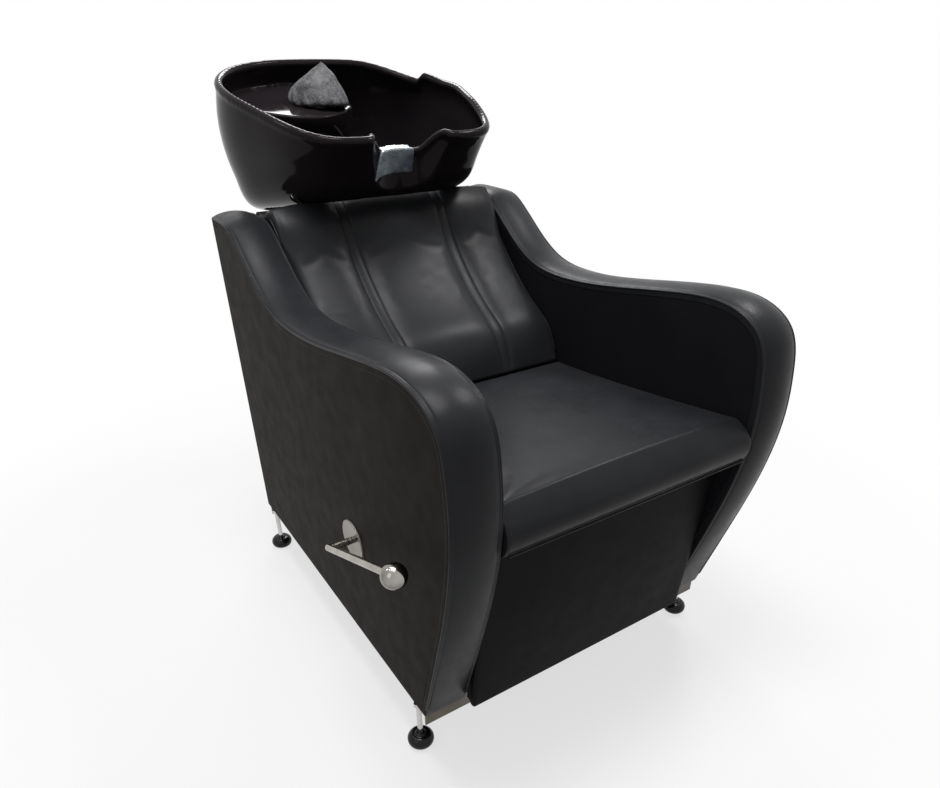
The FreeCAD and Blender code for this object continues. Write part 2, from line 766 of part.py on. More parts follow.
def neck_rest():
    low = -scoop_drop - gel_skirt
    top = -scoop_drop + gel_thickness
    body = scoop(scoop_radius + basin_wall + gel_thickness, low, top)
    body = body.cut(scoop(scoop_radius - gel_thickness, low - cut_over, top + cut_over))
    wall = scoop(scoop_radius + basin_wall + fit_gap, low - cut_over, -scoop_drop + fit_gap)
    wall = wall.cut(scoop(scoop_radius - fit_gap, low - cut_over, -scoop_drop + cut_over))
    body = body.cut(wall)
    keep = block(-gel_half_width, gel_half_width, -rim_front, rim_front, low, top)
    inside = block(-gel_half_width, gel_half_width, -rim_front + scoop_reach + basin_wall, rim_front,
                   low - cut_over, -scoop_drop - gel_skirt / 2)
    place("neck_rest", to_chair(body.common(keep).cut(inside)).cut(parts["basin_bowl"]))


def waste():
    face = basin_floor + flange_thickness
    hole = rod_z(0, drain_place, -rim_length, rim_length, tail_radius - tail_wall)
    flange = rod_z(0, drain_place, basin_floor, face, flange_radius)
    flange = flange.fuse(rod_z(0, drain_place, -tail_length, face, tail_radius))
    place("waste_tail", floor_to_chair(flange.cut(hole)))
    seal = rod_z(0, drain_place, -seal_thickness, 0, waste_nut_radius)
    nut = hex_z(0, drain_place, -seal_thickness - waste_nut_height, -seal_thickness, waste_nut_radius)
    through = rod_z(0, drain_place, -rim_length, rim_length, tail_radius)
    place("waste_seal", floor_to_chair(seal.cut(through)))
    place("waste_nut", floor_to_chair(nut.cut(through)))
    lid = rod_z(0, drain_place, face, face + strainer_height / 3, strainer_radius)
    plug = rod_z(0, drain_place, face - strainer_height, face, tail_radius - tail_wall - run_gap)
    knob = rod_z(0, drain_place, face, face + strainer_height, strainer_hole)
    sieve = lid.fuse(plug).fuse(knob)
    ring_radius = (tail_radius - tail_wall) * strainer_ring_share
    for k in range(strainer_holes):
        turn = rad(360.0 * k / strainer_holes)
        x = ring_radius * math.cos(turn)
        v = drain_place + ring_radius * math.sin(turn)
        sieve = sieve.cut(rod_z(x, v, face - cut_over, face + cut_over, strainer_hole))
    place("strainer", floor_to_chair(sieve))


def mixer():
    base = -shelf_drop
    body = rod_z(-mixer_x, mixer_u, base, base + mixer_height, mixer_radius)
    body = body.fuse(rod_z(-mixer_x, mixer_u, base - basin_wall - mixer_tail, base, mixer_thread))
    place("mixer_body", to_chair(body))
    top = base - basin_wall
    nut = hex_z(-mixer_x, mixer_u, top - nut_height, top, 2 * mixer_thread)
    place("mixer_nut", to_chair(nut.cut(rod_z(-mixer_x, mixer_u, -rim_length, 0, mixer_thread))))
    foot = base + mixer_height + fit_gap
    cap_radius = mixer_radius * mixer_cap_share
    cap = Part.makeCone(mixer_radius, cap_radius, knob_height, V(-mixer_x, mixer_u, foot), Z_AXIS)
    stub_from = V(-mixer_x, mixer_u, foot + knob_height / 2)
    stub = Part.makeCylinder(lever_stub_radius, mixer_radius + lever_stub, stub_from, V(0, -1, 0))
    place("mixer_lever", to_chair(cap.fuse(stub)))


def wrap_profile(radius, height, base):
    middle = V(0, 0, base)
    points = [V(radius * a, 0, base + height * h) for a, h in wrap_shares]
    edges = [line(middle, points[0]), spline(points), line(points[-1], middle)]
    solid = Part.Face(Part.Wire(edges)).revolve(V(0, 0, 0), Z_AXIS, 360)
    flatten = FreeCAD.Matrix()
    flatten.scale(1, wrap_flat, 1)
    solid = solid.transformGeometry(flatten)
    solid.translate(V(-mixer_x, mixer_u, 0))
    return solid


def tap_wrap():
    base = -shelf_drop + fit_gap
    outer = wrap_profile(wrap_radius, wrap_height, base)
    inner = wrap_profile(wrap_radius - wrap_wall, wrap_height - wrap_wall, base - fit_gap)
    place("tap_wrap", to_chair(outer.cut(inner)))


def axle_in_floor():
    turn = rad(rim_tilt_deg)
    back = rim_centre + shell_shares[-1][2] * rim_length
    foot_y = back * math.cos(turn) + basin_depth * math.sin(turn)
    foot_z = rim_z + back * math.sin(turn) - basin_depth * math.cos(turn)
    lean = rad(rim_tilt_deg - floor_turn_deg)
    y = -axle_y - foot_y
    z = axle_z - foot_z
    return V(0, y * math.cos(lean) + z * math.sin(lean), z * math.cos(lean) - y * math.sin(lean))


def tilt_mount():
    reach = arm_inner
    place("tilt_axle", rod_x(-reach, reach, -axle_y, axle_z, axle_radius))
    bearings = []
    for side in (-1, 1):
        inner = side * (arm_inner - bearing_length)
        outer = side * arm_inner
        shell = rod_x(min(inner, outer), max(inner, outer), -axle_y, axle_z, bearing_radius)
        bearings.append(shell.cut(rod_x(-reach, reach, -axle_y, axle_z, axle_radius)))
    place("axle_bearings", group(bearings))


def cradle():
    top = -cradle_pad
    under = top - cradle_plate
    plate = block(-cradle_plate_width / 2, cradle_plate_width / 2, -cradle_front, cradle_rear, under, top)
    plate = plate.cut(rod_z(0, drain_place, -rim_length, 0, waste_nut_radius + cradle_pad))
    plate = floor_to_chair(plate)
    axle = axle_in_floor()
    body = plate
    for side in (-1, 1):
        x = side * cradle_lug - cradle_lug_thickness / 2
        corners = [V(x, axle.y, axle.z + cradle_lug_radius), V(x, -cradle_front, under),
                   V(x, cradle_web_rear, under), V(x, cradle_web_rear, under - cradle_web_depth),
                   V(x, axle.y, axle.z - cradle_lug_radius)]
        web = prism_x(Part.makePolygon(corners + [corners[0]]), cradle_lug_thickness)
        body = body.fuse(floor_to_chair(web))
        body = body.fuse(rod_x(x, x + cradle_lug_thickness, -axle_y, axle_z, cradle_lug_radius))
    body = body.cut(rod_x(-arm_inner, arm_inner, -axle_y, axle_z, axle_radius + run_gap))
    place("basin_cradle", body.removeSplitter())
    pads = []
    bolts = []
    for x in (-cradle_bolt_x, cradle_bolt_x):
        for v in (-cradle_bolt_front, cradle_bolt_rear):
            pads.append(floor_to_chair(rod_z(x, v, top, 0, 3 * bolt_radius)))
            bolts.append(floor_to_chair(rod_z(x, v, under - bolt_head_height, under, bolt_head_radius)))
    place("cradle_pads", group(pads))
    place("basin_bolts", group(bolts))


def build():
    foot_bars()
    feet()
    arm_frames()
    arms()
    seat()
    seat_frame()
    backrest()
    rear_panel()
    leg_rest()
    leg_linkage()
    lever()
    basin()
    neck_rest()
    waste()
    mixer()
    tap_wrap()
    tilt_mount()
    cradle()


def export():
    whole = Part.makeCompound(list(parts.values())).optimalBoundingBox(True)
    shift = V(-whole.Center.x, -whole.Center.y, 0)
    os.makedirs("parts", exist_ok=True)
    for name, shape in parts.items():
        moved = shape.copy()
        moved.translate(shift)
        moved.exportStep(os.path.join("parts", name + ".step"))
    print("nodes", len(parts), "shift", round(shift.x, 3), round(shift.y, 3),
          "size", round(whole.XLength, 1), round(whole.YLength, 1), round(whole.ZMax, 1))
    return shift


build()
export()
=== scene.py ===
import bpy
import bmesh
import math
import numpy as np
from mathutils import Vector, Matrix, noise
from mathutils.bvhtree import BVHTree


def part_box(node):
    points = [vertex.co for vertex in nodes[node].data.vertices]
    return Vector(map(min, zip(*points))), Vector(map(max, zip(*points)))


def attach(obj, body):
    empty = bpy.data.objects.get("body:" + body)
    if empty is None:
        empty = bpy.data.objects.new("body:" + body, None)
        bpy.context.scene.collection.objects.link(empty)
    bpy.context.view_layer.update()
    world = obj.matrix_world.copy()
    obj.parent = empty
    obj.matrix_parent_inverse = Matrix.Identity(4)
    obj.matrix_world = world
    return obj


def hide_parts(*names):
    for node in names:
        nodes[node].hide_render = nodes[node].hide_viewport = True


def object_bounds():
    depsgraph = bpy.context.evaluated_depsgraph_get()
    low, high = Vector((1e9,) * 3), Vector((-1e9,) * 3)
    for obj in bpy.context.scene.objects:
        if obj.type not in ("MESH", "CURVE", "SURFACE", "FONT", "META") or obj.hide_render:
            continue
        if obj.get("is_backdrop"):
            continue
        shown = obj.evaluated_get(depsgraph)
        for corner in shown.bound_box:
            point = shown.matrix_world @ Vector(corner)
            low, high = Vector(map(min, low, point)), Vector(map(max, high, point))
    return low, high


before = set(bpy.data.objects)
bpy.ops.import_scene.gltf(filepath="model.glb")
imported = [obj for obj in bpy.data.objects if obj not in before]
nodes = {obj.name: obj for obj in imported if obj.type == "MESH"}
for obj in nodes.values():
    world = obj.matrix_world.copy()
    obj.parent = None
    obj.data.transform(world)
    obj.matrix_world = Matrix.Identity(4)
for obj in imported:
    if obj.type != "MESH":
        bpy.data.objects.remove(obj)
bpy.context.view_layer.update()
scene = bpy.context.scene

# Sizes are in millimetres on the chair's own axes: x from its middle plane, y from the rear of the arms
# with the sitter facing -y, z from the floor. toRow moves a point into the row frame, in metres, and
# toChair moves it back.
chairShift = Vector((27.0, 290.262, 0.0))


def toRow(point):
    return (Vector(point) + chairShift) / 1000.0


def toChair(point):
    return point * 1000.0 - chairShift


# curves and meshes

def smoothLine(points, count):
    # natural cubic curve through the points, sampled evenly along its length
    p = np.array(points, float)
    t = np.concatenate([[0.0], np.cumsum(np.linalg.norm(np.diff(p, axis=0), axis=1))])
    n = len(p)
    h = np.diff(t)
    grid = np.zeros((n, n))
    right = np.zeros_like(p)
    grid[0, 0] = grid[-1, -1] = 1.0
    for k in range(1, n - 1):
        grid[k, k - 1:k + 2] = h[k - 1], 2 * (h[k - 1] + h[k]), h[k]
        right[k] = 6 * ((p[k + 1] - p[k]) / h[k] - (p[k] - p[k - 1]) / h[k - 1])
    bend = np.linalg.solve(grid, right)

    def at(s):
        k = np.clip(np.searchsorted(t, s) - 1, 0, n - 2)
        a = ((t[k + 1] - s) / h[k])[:, None]
        b = 1.0 - a
        w = (h[k] ** 2)[:, None] / 6
        return a * p[k] + b * p[k + 1] + ((a ** 3 - a) * bend[k] + (b ** 3 - b) * bend[k + 1]) * w

    fine = at(np.linspace(0, t[-1], 40 * n))
    run = np.concatenate([[0.0], np.cumsum(np.linalg.norm(np.diff(fine, axis=0), axis=1))])
    even = np.linspace(0, run[-1], count)
    return np.stack([np.interp(even, run, fine[:, k]) for k in range(p.shape[1])], axis=1)


def spread(marks, step):
    # the marks, with evenly spaced values between them no further apart than step
    values = []
    for a, b in zip(marks, marks[1:]):
        count = max(1, math.ceil((b - a) / step))
        values += [a + (b - a) * k / count for k in range(count)]
    return values + [marks[-1]]


def mirrored(halfWidth, insets, step, more=()):
    # places across a piece, alike on both sides of its middle, with some at the insets from its edges
    half = spread(sorted({0.0, *more} | {halfWidth - d for d in insets}), step)
    return [-x for x in reversed(half[1:])] + half


def ease(x):
    x = min(1.0, max(0.0, x))
    return x * x * (3 - 2 * x)


def newObject(name, mesh):
    obj = bpy.data.objects.new(name, mesh)
    scene.collection.objects.link(obj)
    return obj


def meshFrom(name, points, faces):
    mesh = bpy.data.meshes.new(name)
    mesh.from_pydata([toRow(p) for p in points], [], faces)
    tidy = bmesh.new()
    tidy.from_mesh(mesh)
    bmesh.ops.remove_doubles(tidy, verts=tidy.verts, dist=1e-6)
    bmesh.ops.recalc_face_normals(tidy, faces=tidy.faces)
    tidy.to_mesh(mesh)
    tidy.free()
    for face in mesh.polygons:
        face.use_smooth = True
    return newObject(name, mesh)


def sideFaces(rows, count, closed=False):
    # quads from each ring of count points to the next, and from the last to the first where closed
    faces = []
    for r in range(rows if closed else rows - 1):
        q = (r + 1) % rows
        for k in range(count):
            n = (k + 1) % count
            faces.append((r * count + k, r * count + n, q * count + n, q * count + k))
    return faces


def loft(name, rings, capShares=(0.8, 0.5, 0.2)):
    # closed rings of equal length, joined in order, with each end closed by shrinking rings and a middle point
    rings = [np.array(r, float) for r in rings]
    first, last = rings[0], rings[-1]
    head = [first.mean(0) + (first - first.mean(0)) * s for s in reversed(capShares)]
    tail = [last.mean(0) + (last - last.mean(0)) * s for s in capShares]
    rows = head + rings + tail
    count = len(first)
    points = np.concatenate(rows + [first.mean(0)[None], last.mean(0)[None]])
    faces = sideFaces(len(rows), count)
    top = (len(rows) - 1) * count
    middle = len(rows) * count
    for k in range(count):
        n = (k + 1) % count
        faces.append((middle, n, k))
        faces.append((middle + 1, top + k, top + n))
    return meshFrom(name, points, faces)


def solidCopy(node, name):
    mesh = nodes[node].data.copy()
    mesh.name = name
    tidy = bmesh.new()
    tidy.from_mesh(mesh)
    bmesh.ops.remove_doubles(tidy, verts=tidy.verts, dist=1e-5)
    tidy.to_mesh(mesh)
    tidy.free()
    mesh.materials.clear()
    return newObject(name, mesh)


def bake(obj):
    # the modifiers' result becomes the object's own mesh
    bpy.context.view_layer.update()
    graph = bpy.context.evaluated_depsgraph_get()
    made = bpy.data.meshes.new_from_object(obj.evaluated_get(graph))
    old = obj.data
    obj.modifiers.clear()
    obj.data = made
    made.name = obj.name
    bpy.data.meshes.remove(old)
    return obj


def remesh(obj, settings):
    # an even skin over all the solids in the mesh, smoothed
    mod = obj.modifiers.new("even", "REMESH")
    mod.mode = "VOXEL"
    mod.voxel_size = settings["voxel"]
    mod.use_smooth_shade = True
    soft = obj.modifiers.new("soft", "SMOOTH")
    soft.factor = 0.5
    soft.iterations = settings["rounds"]
    return bake(obj)


def moveVertices(obj, shift):
    # shift(point, normal) gives the new place of each vertex, in the row frame
    mesh = obj.data
    mesh.update()
    places = [shift(v.co.copy(), v.normal.copy()) for v in mesh.vertices]
    for v, place in zip(mesh.vertices, places):
        v.co = place
    mesh.update()


def subdivide(obj):
    mod = obj.modifiers.new("fine", "SUBSURF")
    mod.levels = 1
    mod.render_levels = 1
    return bake(obj)


# the cover as cloth, in Blender's own units
air = {"mass": 0.3, "stiffness": 20.0, "bending": 6.0, "frames": 16, "quality": 4}


def inflate(obj, piece, isHeld):
    # air pressure swells the cover between its held places; no point moves further than the piece's cap
    mesh = obj.data
    group = obj.vertex_groups.new(name="held")
    group.add([v.index for v in mesh.vertices if isHeld(toChair(v.co))], 1.0, "REPLACE")
    rest = np.empty(len(mesh.vertices) * 3)
    mesh.vertices.foreach_get("co", rest)
    mod = obj.modifiers.new("air", "CLOTH")
    cloth = mod.settings
    cloth.quality = air["quality"]
    cloth.mass = air["mass"]
    cloth.tension_stiffness = air["stiffness"]
    cloth.compression_stiffness = air["stiffness"]
    cloth.shear_stiffness = air["stiffness"] / 2
    cloth.bending_stiffness = air["bending"]
    cloth.use_pressure = True
    cloth.uniform_pressure_force = piece["pressure"]
    cloth.effector_weights.gravity = 0
    cloth.vertex_group_mass = "held"
    mod.collision_settings.use_collision = False
    mod.point_cache.frame_start = 1
    mod.point_cache.frame_end = air["frames"]
    for step in range(1, air["frames"] + 1):
        scene.frame_set(step)
    graph = bpy.context.evaluated_depsgraph_get()
    swollen = obj.evaluated_get(graph).to_mesh()
    moved = np.empty_like(rest)
    swollen.vertices.foreach_get("co", moved)
    moved = (moved - rest).reshape(-1, 3)
    obj.evaluated_get(graph).to_mesh_clear()
    obj.modifiers.remove(mod)
    scene.frame_set(1)
    size = np.linalg.norm(moved, axis=1)[:, None]
    cap = piece["cap"] / 1000.0
    moved *= np.where(size > 1e-9, cap * np.tanh(size / cap) / np.maximum(size, 1e-9), 1.0)
    mesh.vertices.foreach_set("co", rest + moved.ravel())
    mesh.update()


# rows of stitches and piping, made with geometry nodes

def addNode(tree, kind, values=None, **settings):
    node = tree.nodes.new(kind)
    for key, value in settings.items():
        setattr(node, key, value)
    for key, value in (values or {}).items():
        node.inputs[key].default_value = value
    return node


def link(tree, a, out, b, into):
    tree.links.new(a.outputs[out], b.inputs[into])


def newTree(name, sockets):
    tree = bpy.data.node_groups.new(name, "GeometryNodeTree")
    tree.interface.new_socket("Path", in_out="INPUT", socket_type="NodeSocketGeometry")
    keys = {}
    for label, kind in sockets:
        keys[label] = tree.interface.new_socket(label, in_out="INPUT", socket_type=kind).identifier
    tree.interface.new_socket("Made", in_out="OUTPUT", socket_type="NodeSocketGeometry")
    start = addNode(tree, "NodeGroupInput")
    line = addNode(tree, "GeometryNodeMeshToCurve")
    link(tree, start, "Path", line, "Mesh")
    return tree, keys, start, line


def closeTree(tree, start, shape, out):
    for kind in ("SetShadeSmooth", "RealizeInstances", "SetMaterial"):
        node = addNode(tree, "GeometryNode" + kind)
        link(tree, shape, out, node, "Geometry")
        shape, out = node, "Geometry"
    link(tree, start, "Material", shape, "Material")
    link(tree, shape, out, addNode(tree, "NodeGroupOutput"), "Made")


def makeStitchTree():
    # small rounded stitches, one every pitch, turned along the path
    tree, keys, start, line = newTree("stitchRow", [
        ("Pitch", "NodeSocketFloat"), ("Half Length", "NodeSocketFloat"), ("Radius", "NodeSocketFloat"),
        ("Material", "NodeSocketMaterial")])
    even = addNode(tree, "GeometryNodeResampleCurve", mode="LENGTH")
    way = addNode(tree, "GeometryNodeInputTangent")
    turn = addNode(tree, "FunctionNodeAlignRotationToVector", axis="Z")
    ball = addNode(tree, "GeometryNodeMeshUVSphere", {"Segments": 6, "Rings": 4, "Radius": 1.0})
    size = addNode(tree, "ShaderNodeCombineXYZ")
    put = addNode(tree, "GeometryNodeInstanceOnPoints")
    for a, out, b, into in ((line, "Curve", even, "Curve"), (start, "Pitch", even, "Length"),
                            (even, "Curve", put, "Points"), (ball, "Mesh", put, "Instance"),
                            (way, "Tangent", turn, "Vector"), (turn, "Rotation", put, "Rotation"),
                            (start, "Radius", size, "X"), (start, "Radius", size, "Y"),
                            (start, "Half Length", size, "Z"), (size, "Vector", put, "Scale")):
        link(tree, a, out, b, into)
    closeTree(tree, start, put, "Instances")
    return tree, keys


def makePipingTree():
    # a round cord of covered piping along the path
    tree, keys, start, line = newTree("pipingRow", [
        ("Radius", "NodeSocketFloat"), ("Material", "NodeSocketMaterial")])
    ring = addNode(tree, "GeometryNodeCurvePrimitiveCircle", {"Resolution": 10})
    sweep = addNode(tree, "GeometryNodeCurveToMesh", {"Fill Caps": True})
    link(tree, start, "Radius", ring, "Radius")
    link(tree, line, "Curve", sweep, "Curve")
    link(tree, ring, "Curve", sweep, "Profile Curve")
    closeTree(tree, start, sweep, "Mesh")
    return tree, keys


stitchTree = makeStitchTree()
pipingTree = makePipingTree()
stitching = {"Pitch": 0.0050, "Half Length": 0.0020, "Radius": 0.00075}


def runTree(name, lines, built, values):
    tree, keys = built
    points, edges = [], []
    for row in lines:
        first = len(points)
        points += [toRow(p) for p in row]
        edges += [(first + k, first + k + 1) for k in range(len(row) - 1)]
    mesh = bpy.data.meshes.new(name)
    mesh.from_pydata(points, edges, [])
    obj = newObject(name, mesh)
    mod = obj.modifiers.new("rows", "NODES")
    mod.node_group = tree
    for label, value in values.items():
        mod[keys[label]] = value
    return bake(obj)


def sewRows(name, lines):
    sewn = runTree(name, lines, stitchTree, {**stitching, "Material": finishes["thread"]})
    return finishPiece(sewn, "frame", [], "thread")


def pipeRows(name, lines, radius):
    cord = runTree(name, lines, pipingTree, {"Radius": radius / 1000.0, "Material": finishes["leather"]})
    return finishPiece(cord, "frame", [], "leather")


def settleOn(obj, points, way, lift):
    # each point goes to the piece's own surface, met from outside against the way given
    mesh = obj.data
    skin = BVHTree.FromPolygons([v.co for v in mesh.vertices], [f.vertices for f in mesh.polygons])
    way = Vector(way).normalized()
    found = []
    for p in points:
        spot = skin.ray_cast(toRow(p) + way * 0.05, -way, 0.12)[0]
        if spot is not None:
            found.append(toChair(spot + way * lift / 1000.0))
    return found


# materials

# the depth in metres of each kind of relief
reliefs = {"crease": 0.0006, "pore": 0.0003, "wave": 0.002, "line": 0.0002, "ring": 0.0005, "speck": 0.0006}
noiseKinds = {
    "patch": {"Detail": 3.0, "Roughness": 0.55}, "cloud": {"Detail": 2.0, "Roughness": 0.5},
    "wear": {"Detail": 4.0, "Roughness": 0.6}, "crease": {"Detail": 3.0, "Roughness": 0.6, "Distortion": 0.6},
    "wave": {"Detail": 1.0, "Roughness": 0.4}, "line": {"Detail": 3.0, "Roughness": 0.6},
    "ring": {"Detail": 4.0, "Roughness": 0.6, "Distortion": 1.2}, "speck": {"Detail": 2.0, "Roughness": 0.7},
}
shaderInputs = {"rough": "Roughness", "specular": "Specular IOR Level", "tint": "Specular Tint",
                "metal": "Metallic", "through": "Transmission Weight", "bend": "IOR", "coat": "Coat Weight"}


def place(tree, scale=(1, 1, 1)):
    mapping = addNode(tree, "ShaderNodeMapping", {"Scale": scale})
    link(tree, addNode(tree, "ShaderNodeTexCoord"), "Object", mapping, "Vector")
    return mapping


def noiseOn(tree, mapping, scale, kind):
    tex = addNode(tree, "ShaderNodeTexNoise", {"Scale": scale, **noiseKinds[kind]})
    link(tree, mapping, "Vector", tex, "Vector")
    return tex


def ramp(tree, source, low, high, start=0.3, end=0.7):
    node = addNode(tree, "ShaderNodeMapRange",
                   {"From Min": start, "From Max": end, "To Min": low, "To Max": high})
    link(tree, source, "Fac", node, "Value")
    return node


def bump(tree, source, out, strength, relief, under=None):
    node = addNode(tree, "ShaderNodeBump", {"Strength": strength, "Distance": reliefs[relief]})
    link(tree, source, out, node, "Height")
    if under:
        link(tree, under, "Normal", node, "Normal")
    return node


def colourBy(tree, shader, source, look, out="Fac", start=0.3, end=0.7):
    node = addNode(tree, "ShaderNodeValToRGB")
    for element, position, key in zip(node.color_ramp.elements, (start, end), ("dark", "light")):
        element.position = position
        element.color = (*look[key], 1)
    link(tree, source, out, node, "Fac")
    link(tree, node, "Color", shader, "Base Color")


def roughBy(tree, shader, source, look):
    link(tree, ramp(tree, source, *look["roughness"]), "Result", shader, "Roughness")


def leather(tree, shader, look):
    # soft patches, a worn sheen, fine creases and pores
    still = place(tree)
    colourBy(tree, shader, noiseOn(tree, still, look["patch"], "patch"), look)
    roughBy(tree, shader, noiseOn(tree, still, look["patch"] * 5, "wear"), look)
    pores = addNode(tree, "ShaderNodeTexVoronoi", {"Scale": look["grain"]})
    link(tree, still, "Vector", pores, "Vector")
    creases = noiseOn(tree, still, look["grain"] * 0.35, "crease")
    first = bump(tree, creases, "Fac", look["creaseBump"], "crease")
    return bump(tree, pores, "Distance", look["grainBump"], "pore", first)


def gloss(tree, shader, look):
    # a glazed or moulded skin with faint smears and slow waves
    still = place(tree)
    colourBy(tree, shader, noiseOn(tree, still, look["patch"], "cloud"), look)
    roughBy(tree, shader, noiseOn(tree, still, look["patch"] * 6, "wear"), look)
    return bump(tree, noiseOn(tree, still, look["wave"], "wave"), "Fac", look["waveBump"], "wave")


def metal(tree, shader, look):
    # fine lines along the grain, over soft patches
    lines = noiseOn(tree, place(tree, look["stretch"]), look["lines"], "line")
    colourBy(tree, shader, noiseOn(tree, place(tree), look["patch"], "patch"), look)
    roughBy(tree, shader, lines, look)
    return bump(tree, lines, "Fac", look["lineBump"], "line")


def wood(tree, shader, look):
    rings = noiseOn(tree, place(tree, look["stretch"]), look["lines"], "ring")
    colourBy(tree, shader, rings, look)
    roughBy(tree, shader, rings, look)
    return bump(tree, rings, "Fac", look["ringBump"], "ring")


def speckle(tree, shader, look):
    # pale and dark specks that gather in clouds, on a folded sheet
    still = place(tree)
    specks = noiseOn(tree, still, look["speck"], "speck")
    clouds = ramp(tree, noiseOn(tree, still, look["patch"], "cloud"), -look["cloudiness"], look["cloudiness"],
                  0.35, 0.65)
    both = addNode(tree, "ShaderNodeMath", operation="ADD")
    link(tree, specks, "Fac", both, 0)
    link(tree, clouds, "Result", both, 1)
    colourBy(tree, shader, both, look, "Value", *look["contrast"])
    roughBy(tree, shader, specks, look)
    folds = bump(tree, noiseOn(tree, still, look["fold"], "line"), "Fac", look["speckBump"], "wave")
    return bump(tree, specks, "Fac", look["speckBump"], "speck", folds)


def newMaterial(name, look, skin=None):
    material = bpy.data.materials.new(name)
    material.use_nodes = True
    tree = material.node_tree
    shader = tree.nodes["Principled BSDF"]
    for key, socket in shaderInputs.items():
        if key in look:
            shader.inputs[socket].default_value = look[key]
    if skin:
        link(tree, skin(tree, shader, look), "Normal", shader, "Normal")
    return material, tree, shader


